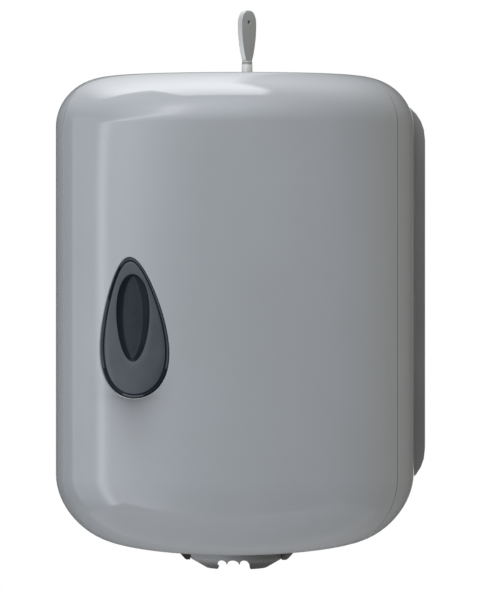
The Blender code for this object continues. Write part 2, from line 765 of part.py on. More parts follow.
def notch_tool():
    """The gap through front and back of the nozzle: three scallops with two teeth between."""
    half = NOTCH_WIDTH / 2
    tip = TOOTH_SPACING / 2
    under = -NOZZLE_END - OVERRUN
    points = [(-half, under), (-half, -TOOTH_TIP)]
    scallop(points, -half, -tip, TOOTH_TIP)
    points.append((-tip, -TOOTH_TIP))
    scallop(points, -tip, tip, TOOTH_TIP)
    points.append((tip, -TOOTH_TIP))
    scallop(points, tip, half, TOOTH_TIP)
    points += [(half, -TOOTH_TIP), (half, under)]
    reach = NOZZLE_RADIUS + OVERRUN
    return slab("nozzle_notch", points, NOZZLE_Y - reach, NOZZLE_Y + reach)


def tear_nozzle():
    top = -COLLAR_SHOULDER + GAP + NOZZLE_FLANGE_THICKNESS
    inside = NOZZLE_RADIUS - NOZZLE_WALL
    profile = [
        (NOZZLE_RADIUS, top),
        (NOZZLE_RADIUS, -NOZZLE_CONE_TOP),
        (NOZZLE_LIP_RADIUS, -NOZZLE_END),
        (NOZZLE_HOLE_RADIUS, -NOZZLE_END),
        (NOZZLE_HOLE_RADIUS, -NOZZLE_END + NOZZLE_WALL),
        (NOZZLE_LIP_RADIUS - NOZZLE_WALL / 2, -NOZZLE_END + NOZZLE_WALL),
        (inside, -NOZZLE_CONE_TOP + NOZZLE_WALL / 2),
        (inside, top),
    ]
    nozzle = turned("tear_nozzle", profile, (0, NOZZLE_Y, 0), 64, "cover")
    outer = SOCKET_RADIUS - GAP / 2
    low = -COLLAR_SHOULDER + GAP
    for angle in (0, pi):
        join(nozzle, sector("lug", NOZZLE_RADIUS - SINK, outer, angle, LUG_ANGLE, low, top - GAP))
    cut(nozzle, notch_tool())
    return nozzle


def hinge_pin(name, side):
    half = PIN_LENGTH / 2
    start = (side - half, HINGE_Y, HINGE_Z)
    return rod_between(name, start, (side + half, HINGE_Y, HINGE_Z), PIN_RADIUS, 20, "steel")


# Lock and key


def lock_barrel():
    seat = TURRET_TOP + GAP
    bore = PLUG_RADIUS + GAP
    profile = [
        (BARREL_FLANGE_RADIUS, seat + BARREL_FLANGE_HEIGHT),
        (BARREL_FLANGE_RADIUS, seat),
        (BARREL_RADIUS, seat),
        (BARREL_RADIUS, BARREL_END),
        (bore, BARREL_END),
        (bore, seat + BARREL_FLANGE_HEIGHT),
    ]
    return turned("lock_barrel", profile, (LOCK_X, LOCK_Y, 0), 40, "steel")


def lock_nut():
    top = TURRET_TOP - TRAY_WALL - GAP
    low = top - LOCK_NUT_HEIGHT
    corner = LOCK_NUT_FLATS / 2 / cos(pi / 6)
    nut = lock_rod("lock_nut", low, top, corner, 6, "steel")
    cut(nut, lock_rod("nut_bore", low - OVERRUN, top + OVERRUN, BARREL_RADIUS + GAP, 32))
    return nut


def plug_top():
    return TURRET_TOP + GAP + BARREL_FLANGE_HEIGHT + PLUG_PROUD


def square_column(name, size, low, high, turn=0.0, finish_name=None):
    """A square bar on the lock's axis."""
    half = size / 2
    outline = [(-half, -half), (half, -half), (half, half), (-half, half)]
    place = Matrix.Translation((LOCK_X, LOCK_Y, (low + high) / 2)) @ Matrix.Rotation(turn, 4, "Z")
    return prism(name, outline, high - low, place, finish_name)


def lock_plug():
    plug = lock_rod("lock_plug", PLUG_END, plug_top(), PLUG_RADIUS, 32, "steel")
    stud = square_column("plug_stud", CAM_SQUARE, CAM_BOTTOM + GAP, PLUG_END + SINK)
    recess = square_column(
        "plug_recess", DRIVE_SIZE + 2 * GAP, plug_top() - DRIVE_DEPTH - GAP, plug_top() + OVERRUN, KEY_TURN
    )
    end = CAM_BOTTOM + CAM_SCREW_LENGTH
    thread = lock_rod("cam_screw_hole", CAM_BOTTOM - OVERRUN, end + GAP, CAM_SCREW_RADIUS + GAP, 16)
    join(plug, stud)
    cut(plug, recess, thread)
    return plug


def lock_cam():
    """The flat cam, which points to the front while the lock is open."""
    half = CAM_WIDTH / 2
    outline = [(half, half), (-half, half)]
    for step in range(9):
        angle = pi + pi * step / 8
        outline.append((half * cos(angle), half - CAM_LENGTH + half * sin(angle)))
    place = Matrix.Translation((LOCK_X, LOCK_Y, (CAM_TOP + CAM_BOTTOM) / 2))
    cam = prism("lock_cam", outline, CAM_THICKNESS, place, "steel")
    cut(cam, square_column("cam_hole", CAM_SQUARE + 2 * GAP, CAM_BOTTOM - OVERRUN, CAM_TOP + OVERRUN))
    return cam


def cam_screw():
    seat = CAM_BOTTOM - GAP
    screw = lock_rod("cam_screw", seat - CAM_SCREW_HEAD_HEIGHT, seat, CAM_SCREW_HEAD, 24, "steel")
    end = CAM_BOTTOM + CAM_SCREW_LENGTH
    join(screw, lock_rod("cam_screw_shank", seat - SINK, end, CAM_SCREW_RADIUS, 12))
    return screw


def bow_outline():
    """The leaf-shaped bow: round at the top, and drawn in to a narrow neck."""
    half, neck = KEY_BOW_WIDTH / 2, KEY_NECK_WIDTH / 2
    widest = KEY_BOW_BOTTOM + (KEY_TOP - KEY_BOW_BOTTOM) * KEY_WIDEST_SHARE
    points = []
    for step in range(BOW_STEPS + 1):
        angle = pi * step / BOW_STEPS
        x = half * signed_power(cos(angle), 2 / KEY_CROWN_POWER)
        z = widest + (KEY_TOP - widest) * sin(angle) ** (2 / KEY_CROWN_POWER)
        points.append((x, z))
    lower = []
    for step in range(1, BOW_STEPS + 1):
        share = step / BOW_STEPS
        x = neck + (half - neck) * cos(share * pi / 2) ** KEY_TAPER_POWER
        lower.append((x, widest + (KEY_BOW_BOTTOM - widest) * share))
    points += [(-x, z) for x, z in lower]
    points += reversed(lower)
    return points


def key():
    """Square end in the plug, a round shank, and the bow turned about the lock's axis."""
    turn = Matrix.Translation((LOCK_X, LOCK_Y, 0)) @ Matrix.Rotation(KEY_TURN, 4, "Z")
    body = prism("key", bow_outline(), KEY_BOW_THICKNESS, turn @ Y_TO_Z, "key")
    round_edges(body, KEY_EDGE)
    collar = plug_top() + GAP
    shank = lock_rod("key_shank", collar, KEY_BOW_BOTTOM + SINK, KEY_SHANK_RADIUS, 24)
    drive = square_column("key_drive", DRIVE_SIZE, plug_top() - DRIVE_DEPTH, collar + SINK, KEY_TURN)
    join(body, shank, drive)
    eye_z = KEY_TOP - KEY_HOLE_DROP
    across = turn.to_3x3() @ Vector((0, KEY_BOW_THICKNESS + OVERRUN, 0))
    centre = Vector((LOCK_X, LOCK_Y, eye_z))
    cut(body, rod_between("key_eye", centre - across, centre + across, KEY_HOLE_RADIUS, 16))
    return body


# Front cover and what it carries


def bottom_notch():
    """The U-shaped gap in the cover's bottom round the collar, open to the rear."""
    half = COLLAR_RADIUS + NOTCH_CLEARANCE
    corner_y = NOZZLE_Y - half + NOTCH_CORNER
    steps = 6
    outline = [(half, RIM_Y + OVERRUN)]
    for side in (1, -1):
        for step in range(steps + 1):
            angle = pi / 2 * (step if side > 0 else steps - step) / steps
            x = side * (half - NOTCH_CORNER + NOTCH_CORNER * cos(angle))
            outline.append((x, corner_y - NOTCH_CORNER * sin(angle)))
    outline.append((-half, RIM_Y + OVERRUN))
    low = -COVER_BOTTOM - BOTTOM_CROWN - OVERRUN
    high = -COVER_BOTTOM + OVERRUN
    return prism("bottom_notch", outline, high - low, Matrix.Translation((0, 0, (low + high) / 2)))


def tongue_middle():
    return LOCK_X + TONGUE_OFFSET + TONGUE_THICKNESS / 2


def foot_screw_places():
    """Centres of the two latch tongue screws in X and Y."""
    middle = tongue_middle()
    y = -TONGUE_FORWARD - FOOT_LENGTH / 2
    return [(middle - FOOT_SCREW_SPACING / 2, y), (middle + FOOT_SCREW_SPACING / 2, y)]


def knuckle_shapes(side):
    """A hinge knuckle and the block that stands it on the cover's bottom."""
    half = KNUCKLE_WIDTH / 2
    knuckle = rod_between(
        "knuckle", (side - half, HINGE_Y, HINGE_Z), (side + half, HINGE_Y, HINGE_Z), KNUCKLE_RADIUS
    )
    bulge = BOTTOM_CROWN * (1 - (side / (COVER_WIDTH / 2)) ** 2)
    foot = -COVER_BOTTOM - bulge + COVER_WALL / 2
    inset = KNUCKLE_RADIUS * (1 - SINK / COVER_WIDTH)
    block = box_between(
        "knuckle_block",
        (side - half + SINK / 4, HINGE_Y - inset, foot),
        (side + half - SINK / 4, HINGE_Y + inset, HINGE_Z),
    )
    return knuckle, block


def post_places():
    """Centres of the retainer's posts, in the window's plane."""
    outline = window_outline(POST_MARGIN)
    return [outline[round(turn * WINDOW_STEPS) % WINDOW_STEPS] for turn in POST_TURNS]


def post(name, x, z, radius, near, far):
    """A rod along the window's depth direction, from near to far behind the surface."""
    place = window_frame()
    return rod_between(name, place @ Vector((x, z, -near)), place @ Vector((x, z, -far)), radius, 16)


def post_depth(x):
    """How far the cover's surface lies behind the window's plane at a place along it."""
    place = window_frame()
    inward = -(place.to_3x3() @ Vector((0, 0, 1))).normalized()
    start = place @ Vector((x, 0, 0))
    depth = 0.0
    for _ in range(4):
        point = start + depth * inward
        depth += (surface_y(point.x) - point.y) * inward.y
    return depth


def retainer_back():
    """Depth of the retainer's inner face behind the cover's surface."""
    return COVER_WALL + WINDOW_FLANGE_THICKNESS + 2 * GAP + RETAINER_THICKNESS


def front_cover():
    cover = cover_skin("front_cover", 0.0, COVER_WALL, "cover")
    cut(cover, bottom_notch(), window_prism("window_hole", window_outline()))
    for side in hinge_sides():
        join(cover, *knuckle_shapes(side))
    for side in hinge_sides():
        cut(cover, pin_bore(side))
    foot_top = COVER_INNER_TOP - FOOT_DROP
    for x, y in foot_screw_places():
        start = (x, y, foot_top + GAP)
        join(cover, rod_between("foot_boss", start, (x, y, COVER_INNER_TOP + SINK), BOSS_RADIUS))
        cut(cover, rod_between("foot_pilot", (x, y, foot_top - OVERRUN), (x, y, COVER_INNER_TOP - GAP),
                               SCREW_RADIUS + GAP, 16))
    for x, z in post_places():
        near = post_depth(x) + COVER_WALL / 2
        far = post_depth(x) + retainer_back() + POST_PROUD
        join(cover, post("retainer_post", x, z, POST_RADIUS, near, far))
    return cover


def window_lens():
    """A drop-shaped lens in the opening, with a flange behind the cover's wall."""
    depth = COVER_WALL + GAP + WINDOW_FLANGE_THICKNESS
    lens = cover_skin("window_lens", WINDOW_RECESS, depth - WINDOW_RECESS, "smoked")
    boolean(lens, window_prism("lens_outline", window_outline(-GAP)), "INTERSECT")
    flange = cover_skin("lens_flange", COVER_WALL + GAP, WINDOW_FLANGE_THICKNESS)
    boolean(flange, window_prism("flange_outline", window_outline(WINDOW_FLANGE)), "INTERSECT")
    join(lens, flange)
    dish = cover_skin("oval_dish", -WINDOW_RECESS, 2 * WINDOW_RECESS + OVAL_DEPTH)
    oval = drop_outline(OVAL_WIDTH, OVAL_HEIGHT, OVAL_SHARES, OVAL_RISE)
    boolean(dish, window_prism("oval_outline", oval), "INTERSECT")
    cut(lens, dish)
    return lens


def window_retainer():
    """The ring on four posts that holds the lens's flange against the cover."""
    front = COVER_WALL + WINDOW_FLANGE_THICKNESS + 2 * GAP
    ring = cover_skin("window_retainer", front, RETAINER_THICKNESS, "housing")
    boolean(ring, window_prism("retainer_outline", window_outline(RETAINER_MARGIN)), "INTERSECT")
    cut(ring, window_prism("retainer_hole", window_outline(-RETAINER_BORDER)))
    for x, z in post_places():
        near = post_depth(x)
        cut(ring, post("post_hole", x, z, POST_RADIUS + GAP, near, near + retainer_back() + OVERRUN))
    return ring


def latch_tongue():
    """A foot under the cover's top and a plate with the slot that the cam turns into."""
    foot_top = COVER_INNER_TOP - FOOT_DROP
    foot_low = foot_top - FOOT_THICKNESS
    middle = tongue_middle()
    front = -TONGUE_FORWARD - FOOT_LENGTH
    foot = box_between(
        "latch_tongue",
        (middle - FOOT_WIDTH / 2, front, foot_low),
        (middle + FOOT_WIDTH / 2, -TONGUE_FORWARD, foot_top),
        "housing",
    )
    low, high = SLOT_BOTTOM - TONGUE_BAR, SLOT_TOP + TONGUE_BAR
    outline = [
        (-TONGUE_REACH, low),
        (-TONGUE_REACH, high),
        (-TONGUE_FORWARD - SINK, high),
        (-TONGUE_FORWARD - SINK, foot_low + SINK),
        (-TONGUE_FORWARD - TONGUE_ARM, foot_low + SINK),
        (-TONGUE_FORWARD - TONGUE_ARM, low),
    ]
    place = Matrix.Translation((middle, 0, 0)) @ X_TO_Y
    join(foot, prism("tongue_plate", outline, TONGUE_THICKNESS, place))
    sweep = sqrt(CAM_LENGTH**2 + (CAM_WIDTH / 2) ** 2)
    slot_front = LOCK_Y - sqrt(sweep**2 - TONGUE_OFFSET**2) - PLAY
    slot_back = LOCK_Y + CAM_WIDTH / 2 + PLAY
    slot = box_between(
        "tongue_slot",
        (LOCK_X + TONGUE_OFFSET - OVERRUN, slot_front, SLOT_BOTTOM),
        (LOCK_X + TONGUE_OFFSET + TONGUE_THICKNESS + OVERRUN, slot_back, SLOT_TOP),
    )
    cut(foot, slot)
    for x, y in foot_screw_places():
        hole = rod_between(
            "foot_hole", (x, y, foot_low - OVERRUN), (x, y, foot_top + OVERRUN), SCREW_RADIUS + GAP, 16
        )
        cut(foot, hole)
    return foot


def tongue_screw(number, x, y):
    seat = COVER_INNER_TOP - FOOT_DROP - FOOT_THICKNESS - GAP
    name = f"tongue_screw_{number}"
    obj = rod_between(name, (x, y, seat - SCREW_HEAD_HEIGHT), (x, y, seat), SCREW_HEAD_RADIUS, 20, "steel")
    end = seat + TONGUE_SCREW_LENGTH
    join(obj, rod_between("tongue_shank", (x, y, seat - SINK), (x, y, end), SCREW_RADIUS, 12))
    return obj


# Assembly


def pivot(name, place, children):
    """An empty on a joint's axis that carries the pieces which move with it."""
    empty = bpy.data.objects.new(name, None)
    empty.location = place
    PARTS.objects.link(empty)
    for child in children:
        child.parent = empty
        child.matrix_parent_inverse = Matrix.Translation(place).inverted()
    return empty


def build():
    back_housing()
    roll_shelf()
    for number, (x, z) in enumerate(shelf_screw_places(), 1):
        shelf_screw(number, x, z)
    nozzle_collar()
    left, right = hinge_sides()
    hinge_pin("hinge_pin_left", left)
    hinge_pin("hinge_pin_right", right)
    lock_barrel()
    lock_nut()
    on_cover = [front_cover(), window_lens(), window_retainer(), latch_tongue()]
    on_cover += [tongue_screw(number, x, y) for number, (x, y) in enumerate(foot_screw_places(), 1)]
    pivot("cover_pivot", (0, HINGE_Y, HINGE_Z), on_cover)
    pivot("nozzle_pivot", (0, NOZZLE_Y, -NOZZLE_END), [tear_nozzle()])
    pivot("lock_pivot", (LOCK_X, LOCK_Y, PLUG_END), [lock_plug(), lock_cam(), cam_screw()])
    pivot("key_pivot", (LOCK_X, LOCK_Y, KEY_TOP), [key()])


build()
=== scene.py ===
import json
from math import cos, degrees, pi, radians, sin, tan

import bmesh
import bpy
from mathutils import Matrix, Vector

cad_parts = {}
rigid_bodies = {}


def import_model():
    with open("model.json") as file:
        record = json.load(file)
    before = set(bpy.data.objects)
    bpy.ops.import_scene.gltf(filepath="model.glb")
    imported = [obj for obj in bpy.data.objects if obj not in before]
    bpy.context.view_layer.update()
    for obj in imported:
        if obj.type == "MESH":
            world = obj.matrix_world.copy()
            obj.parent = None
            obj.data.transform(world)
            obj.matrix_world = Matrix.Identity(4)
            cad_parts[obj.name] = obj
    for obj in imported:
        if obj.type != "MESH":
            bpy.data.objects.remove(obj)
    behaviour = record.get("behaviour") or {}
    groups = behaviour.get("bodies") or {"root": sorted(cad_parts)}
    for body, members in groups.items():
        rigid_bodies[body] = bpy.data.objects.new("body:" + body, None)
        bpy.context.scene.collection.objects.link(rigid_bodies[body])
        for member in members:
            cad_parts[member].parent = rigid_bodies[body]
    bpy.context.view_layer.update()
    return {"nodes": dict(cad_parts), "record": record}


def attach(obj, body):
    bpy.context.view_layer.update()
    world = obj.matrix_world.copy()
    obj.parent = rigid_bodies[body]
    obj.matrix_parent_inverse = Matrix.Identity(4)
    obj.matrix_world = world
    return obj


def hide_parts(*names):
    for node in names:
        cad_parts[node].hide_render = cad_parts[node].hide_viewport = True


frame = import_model()
for stray in [obj for obj in bpy.data.objects if obj.type in {"CAMERA", "LIGHT"} or obj.name == "Cube"]:
    bpy.data.objects.remove(stray, do_unlink=True)
scene = bpy.context.scene
mm = 0.001
print("frame loaded,", len(frame["nodes"]), "nodes")


# camera, as far off and as level as the photograph's

camera = dict(at=(146.58, -2603.65, 9.57), turn=0.057, rise=0.004, lens=203.63)


def addCamera():
    turn, rise = camera["turn"], camera["rise"]
    back = Vector((sin(turn) * cos(rise), -cos(turn) * cos(rise), sin(rise)))
    right = Vector((cos(turn), sin(turn), 0))
    facing = Matrix((right, back.cross(right), back)).transposed().to_4x4()
    eye = bpy.data.objects.new("camera", bpy.data.cameras.new("camera"))
    eye.data.lens = camera["lens"]
    eye.data.sensor_width = 36
    eye.data.clip_end = 60
    eye.matrix_world = Matrix.Translation(Vector(camera["at"]) * mm) @ facing
    scene.collection.objects.link(eye)
    scene.camera = eye


addCamera()
print("camera placed")


# shader helpers


def rgb(red, green, blue):
    return (red, green, blue, 1)


def grey(level):
    return rgb(level, level, level)


class Tap:  # one output socket, used in sums
    def __init__(self, recipe, socket):
        self.recipe = recipe
        self.socket = socket

    def __add__(self, other):
        return self.recipe.maths("ADD", self, other)

    def __sub__(self, other):
        return self.recipe.maths("SUBTRACT", self, other)

    def __rsub__(self, other):
        return self.recipe.maths("SUBTRACT", other, self)

    def __mul__(self, other):
        return self.recipe.maths("MULTIPLY", self, other)

    def __truediv__(self, other):
        return self.recipe.maths("DIVIDE", self, other)

    def __rtruediv__(self, other):
        return self.recipe.maths("DIVIDE", other, self)

    def __neg__(self):
        return self * -1

    __radd__ = __add__
    __rmul__ = __mul__


class Recipe:  # one material, or the air, and the nodes behind it
    def __init__(self, name="", tree=None):
        self.tree = tree
        if tree is None:
            self.material = bpy.data.materials.new(name)
            self.material.use_nodes = True
            self.tree = self.material.node_tree
            self.shader = self.tree.nodes["Principled BSDF"]
            self.place = self.node("ShaderNodeTexCoord", out="Object")  # metres from the wall face

    def node(self, kind, settings=None, sockets=None, out=0):
        made = self.tree.nodes.new(kind)
        for key, value in (settings or {}).items():
            if key == "stops":
                self.setStops(made.color_ramp, value)
            else:
                setattr(made, key, value)
        for key, value in (sockets or {}).items():
            if isinstance(value, Tap):
                self.tree.links.new(value.socket, made.inputs[key])
            else:
                made.inputs[key].default_value = value
        return Tap(self, made.outputs[out]) if made.outputs else None

    def maths(self, operation, first, second=0.0):
        return self.node("ShaderNodeMath", {"operation": operation}, {0: first, 1: second})

    def setStops(self, ramp, stops):
        while len(ramp.elements) < len(stops):
            ramp.elements.new(1.0)
        for element, (position, level) in zip(ramp.elements, stops):
            element.position = position
            element.color = grey(level)

    def noise(self, scale, detail=2.0, roughness=0.5, stretch=(1, 1, 1), shift=(0, 0, 0)):
        moved = self.node("ShaderNodeMapping", {}, {0: self.place, "Location": shift, "Scale": stretch})
        return self.node("ShaderNodeTexNoise", {}, {
            "Vector": moved, "Scale": scale, "Detail": detail, "Roughness": roughness})

    def ramp(self, value, stops):
        return self.node("ShaderNodeValToRGB", {"stops": stops}, {0: value})

    def mixed(self, first, second, share):
        return self.node("ShaderNodeMix", {"data_type": "RGBA"}, {0: share, 6: first, 7: second}, out=2)

    def axis(self, name):
        return self.node("ShaderNodeSeparateXYZ", {}, {0: self.place}, out=name)

    def bump(self, height, strength, distance, under=None):
        sockets = {"Height": height, "Strength": strength, "Distance": distance}
        if under:
            sockets["Normal"] = under
        return self.node("ShaderNodeBump", {}, sockets)

    def finish(self, **sockets):
        names = dict(colour="Base Color", rough="Roughness", metal="Metallic", normal="Normal",
                     glow="Emission Color", glowStrength="Emission Strength", shine="Specular IOR Level")
        for key, value in sockets.items():
            target = self.shader.inputs[names[key]]
            if isinstance(value, Tap):
                self.tree.links.new(value.socket, target)
            else:
                target.default_value = value
        return self.material


# finishes

coverFinish = dict(
    pale=rgb(0.214, 0.226, 0.238), deep=rgb(0.203, 0.214, 0.224), speckle=rgb(0.27, 0.28, 0.29),
    rough=0.045, smudged=0.03, wiped=0.03, peelSize=210, peelHeight=0.00006, hairSize=60,
    # shade: colour of the painted shadow under the window and of the painted shade in the crease
    shade=rgb(0.03, 0.032, 0.035), creaseShade=0.43, shadePower=0.7,
    shadeX=-0.0675, shadeZ=-0.073, shadeWide=0.0165, shadeDeep=0.014)  # in metres, from the window's tip


def shadeBelowWindow(r):  # painted shadow on the cover under the window's tip
    look = coverFinish
    height = r.axis("Z") - look["shadeZ"]
    across = (r.axis("X") - look["shadeX"]) / look["shadeWide"]
    below = r.maths("POWER", r.maths("MAXIMUM", -height / look["shadeDeep"]), look["shadePower"])
    fade = r.ramp(height * 20, [(0.2, 1), (0.6, 0)])  # gone 30 mm above the tip
    return r.maths("EXPONENT", -(below + across * across)) * fade


def coverPlastic(name, paintedCreaseShade=0):  # glossy moulded plastic, faint orange peel, hairline wipes and smudges; painted shadow under the window, and painted shade in the crease when given
    look = coverFinish
    r = Recipe(name)
    drift = r.noise(11, 3, 0.55)
    speck = r.noise(2600, 1, 0.5)
    tone = r.mixed(look["deep"], look["pale"], r.ramp(drift, [(0.3, 0), (0.7, 1)]))
    tone = r.mixed(tone, look["speckle"], r.ramp(speck, [(0.66, 0), (0.86, 0.16)]))
    # painted shadow under the window's tip
    tone = r.mixed(tone, look["shade"], shadeBelowWindow(r))
    # painted shade in the crease: the shade colour mixed in
    if paintedCreaseShade:
        tone = r.mixed(tone, look["shade"], paintedCreaseShade)
    smudge = r.noise(34, 5, 0.62, (1, 1, 0.6), (0.3, 0.1, 0.2))
    hair = r.noise(look["hairSize"], 3, 0.5, (1, 1, 26), (0.1, 0.4, 0.2))
    hair = r.ramp(hair, [(0.64, 0), (0.7, 1)])
    rough = look["rough"] + r.ramp(smudge, [(0.45, 0), (0.8, 1)]) * look["smudged"] + hair * look["wiped"]
    peel = r.noise(look["peelSize"], 2, 0.4)
    normal = r.bump(peel, 0.16, look["peelHeight"])
    normal = r.bump(-hair, 0.05, 0.00001, normal)
    return r.finish(colour=tone, rough=rough, normal=normal)


shelfFinish = dict(pale=rgb(0.235, 0.25, 0.268), deep=rgb(0.205, 0.218, 0.232), rough=0.36)


def shelfPlastic():  # same resin off a plain tool: satin, with flow lines
    look = shelfFinish
    r = Recipe("shelfPlastic")
    flow = r.noise(22, 4, 0.6, (1, 2.5, 1))
    grain = r.noise(1500, 2, 0.5)
    tone = r.mixed(look["deep"], look["pale"], r.ramp(flow, [(0.35, 0), (0.68, 1)]))
    rough = look["rough"] + (flow - 0.5) * 0.12
    normal = r.bump(grain, 0.22, 0.00004, r.bump(flow, 0.08, 0.0002))
    return r.finish(colour=tone, rough=rough, normal=normal)


housingFinish = dict(pale=rgb(0.176, 0.181, 0.178), deep=rgb(0.143, 0.148, 0.145),
                     speckle=rgb(0.21, 0.215, 0.213), rough=0.46, grainSize=1300)


def housingPlastic():  # darker grey with a spark-eroded grain
    look = housingFinish
    r = Recipe("housingPlastic")
    drift = r.noise(14, 3, 0.55)
    grain = r.noise(look["grainSize"], 3, 0.6)
    pits = r.node("ShaderNodeTexVoronoi", {}, {"Vector": r.place, "Scale": look["grainSize"] * 0.7})
    tone = r.mixed(look["deep"], look["pale"], r.ramp(drift, [(0.3, 0), (0.7, 1)]))
    tone = r.mixed(tone, look["speckle"], r.ramp(grain, [(0.62, 0), (0.85, 0.4)]))
    rough = look["rough"] + (grain - 0.5) * 0.16
    normal = r.bump(grain + pits * 0.5, 0.4, 0.00005)
    return r.finish(colour=tone, rough=rough, normal=normal)


lensFinish = dict(pale=rgb(0.032, 0.038, 0.046), deep=rgb(0.023, 0.028, 0.035),
                  dust=rgb(0.09, 0.094, 0.1), rough=0.14, shine=0.27)


def smokedPlastic():  # smoked acrylic, a touch paler where it is thin
    look = lensFinish
    r = Recipe("smokedPlastic")
    haze = r.noise(45, 4, 0.6)
    dust = r.noise(1900, 1, 0.5)
    tone = r.mixed(look["deep"], look["pale"], r.ramp(haze, [(0.3, 0), (0.72, 1)]))
    tone = r.mixed(tone, look["dust"], r.ramp(dust, [(0.7, 0), (0.9, 0.22)]))
    rough = look["rough"] + r.ramp(haze, [(0.5, 0), (0.8, 1)]) * 0.07
    normal = r.bump(r.noise(260, 2, 0.4), 0.1, 0.00004)
    return r.finish(colour=tone, rough=rough, normal=normal, shine=look["shine"])


thickLens = dict(  # the lens where it is thick or slopes: floor and wall of its dish, and its border
    dish=dict(deep=rgb(0.012, 0.0155, 0.020), pale=rgb(0.016, 0.020, 0.025), rough=0.24, shine=0.08),
    wall=dict(deep=rgb(0.004, 0.0055, 0.009), pale=rgb(0.006, 0.008, 0.012), rough=0.3, shine=0.06),
    border=dict(deep=rgb(0.022, 0.026, 0.032), pale=rgb(0.028, 0.033, 0.040), rough=0.2, shine=0.22))


def darkPlastic(part):
    look = thickLens[part]
    r = Recipe("lens_" + part)
    haze = r.noise(60, 4, 0.6)
    tone = r.mixed(look["deep"], look["pale"], r.ramp(haze, [(0.3, 0), (0.7, 1)]))
    normal = r.bump(r.noise(700, 2, 0.5), 0.12, 0.00003)
    return r.finish(colour=tone, rough=look["rough"] + haze * 0.08, normal=normal, shine=look["shine"])


collarFinish = dict(pale=rgb(0.034, 0.033, 0.031), deep=rgb(0.016, 0.016, 0.015), rough=0.38)


def collarPlastic():  # near-black nylon with a dull bloom
    look = collarFinish
    r = Recipe("collarPlastic")
    bloom = r.noise(38, 5, 0.62)
    grain = r.noise(1500, 2, 0.5)
    tone = r.mixed(look["deep"], look["pale"], r.ramp(bloom, [(0.35, 0), (0.7, 1)]))
    normal = r.bump(grain, 0.3, 0.00004)
    return r.finish(colour=tone, rough=look["rough"] + (bloom - 0.5) * 0.16, normal=normal)


nozzleFinish = dict(pale=rgb(0.25, 0.255, 0.262), deep=rgb(0.012, 0.012, 0.011),
                    scuffed=rgb(0.15, 0.15, 0.148), rough=0.24, shine=0.05)


def nozzlePlastic():  # cover resin, scuffed by paper, with painted shade: darker at the lip and on the right
    look = nozzleFinish
    r = Recipe("nozzlePlastic")
    drift = r.noise(26, 3, 0.55)
    scuff = r.noise(170, 4, 0.6, (1, 1, 5), (0.4, 0.2, 0.1))
    height = (r.axis("Z") + 0.204) * 90  # 0 at the lip, 1 at the top of the cone
    across = (r.axis("X") + 0.036) * 14  # 0 on the left, 1 on the right
    # painted shade on the right side, less of it towards the top
    right = r.ramp(across, [(0.4, 0), (0.68, 0.6), (0.95, 0.88)]) * r.ramp(height, [(0.35, 1), (0.85, 0.62)])
    # painted light: paler towards the top of the cone, except where the right is painted in shade
    paintedLight = r.ramp(height, [(0.1, 0.02), (0.3, 0.2), (0.5, 0.34), (0.88, 1)]) * (1 - right)
    tone = r.mixed(look["deep"], look["pale"], paintedLight * (drift * 0.3 + 0.85))
    tone = r.mixed(tone, look["scuffed"], r.ramp(scuff, [(0.66, 0), (0.82, 0.15)]))
    rough = look["rough"] + r.ramp(scuff, [(0.5, 0), (0.8, 1)]) * 0.16
    normal = r.bump(r.noise(240, 2, 0.4), 0.12, 0.00006)
    return r.finish(colour=tone, rough=rough, normal=normal, shine=look["shine"])


keyFinish = dict(
    key=dict(deep=rgb(0.222, 0.230, 0.227), pale=rgb(0.252, 0.260, 0.257), speckle=rgb(0.34, 0.345, 0.34),
             paintedLowLight=rgb(0.237, 0.245, 0.242)),
    # keyEdge: a paler copy of the key's finish, for its painted-lit edges
    keyEdge=dict(deep=rgb(0.26, 0.265, 0.262), pale=rgb(0.31, 0.315, 0.312), speckle=rgb(0.54, 0.545, 0.54),
                 paintedLowLight=rgb(0.57, 0.575, 0.57)),
    rough=0.3)


def keyPlastic(part):  # satin nylon with a faint mould grain, with painted light that makes it paler lower down
    look = keyFinish[part]
    r = Recipe(part + "Plastic")
    drift = r.noise(85, 3, 0.55)
    grain = r.noise(1700, 3, 0.6)
    tone = r.mixed(look["deep"], look["pale"], r.ramp(drift, [(0.3, 0), (0.7, 1)]))
    # painted light: share of the paler tone, by height
    low = r.ramp((r.axis("Z") - 0.17) * 22, [(0.15, 0.45), (0.3, 1), (0.95, 0)])  # from the shank to the top
    tone = r.mixed(tone, look["paintedLowLight"], low)
    tone = r.mixed(tone, look["speckle"], r.ramp(grain, [(0.64, 0), (0.85, 0.35)]))
    normal = r.bump(grain, 0.25, 0.00003)
    return r.finish(colour=tone, rough=keyFinish["rough"] + (drift - 0.5) * 0.12, normal=normal)


steelFinish = dict(pale=rgb(0.66, 0.66, 0.65), deep=rgb(0.50, 0.50, 0.485), rough=0.24)


def zincSteel():  # bright zinc, slightly clouded, with fine turning marks
    look = steelFinish
    r = Recipe("zincSteel")
    cloud = r.noise(160, 4, 0.6)
    lines = r.noise(900, 2, 0.5, (1, 1, 7))
    tone = r.mixed(look["deep"], look["pale"], r.ramp(cloud, [(0.3, 0), (0.7, 1)]))
    rough = look["rough"] + cloud * 0.16
    return r.finish(colour=tone, metal=1.0, rough=rough, normal=r.bump(lines, 0.12, 0.00003))


finishes = dict(
    # coverCrease: the cover finish with painted shade, for the crease faces
    cover=coverPlastic("coverPlastic"), crease=coverPlastic("coverCrease", coverFinish["creaseShade"]),
    shelf=shelfPlastic(), housing=housingPlastic(), lens=smokedPlastic(), collar=collarPlastic(),
    nozzle=nozzlePlastic(), steel=zincSteel())
finishes.update({part: darkPlastic(part) for part in thickLens})
finishes.update({part: keyPlastic(part) for part in ("key", "keyEdge")})
print("finishes made,", len(finishes))


# mesh helpers


def smoothed(mesh, angle):
    mesh.shade_smooth()
    mesh.set_sharp_from_angle(angle=radians(angle))


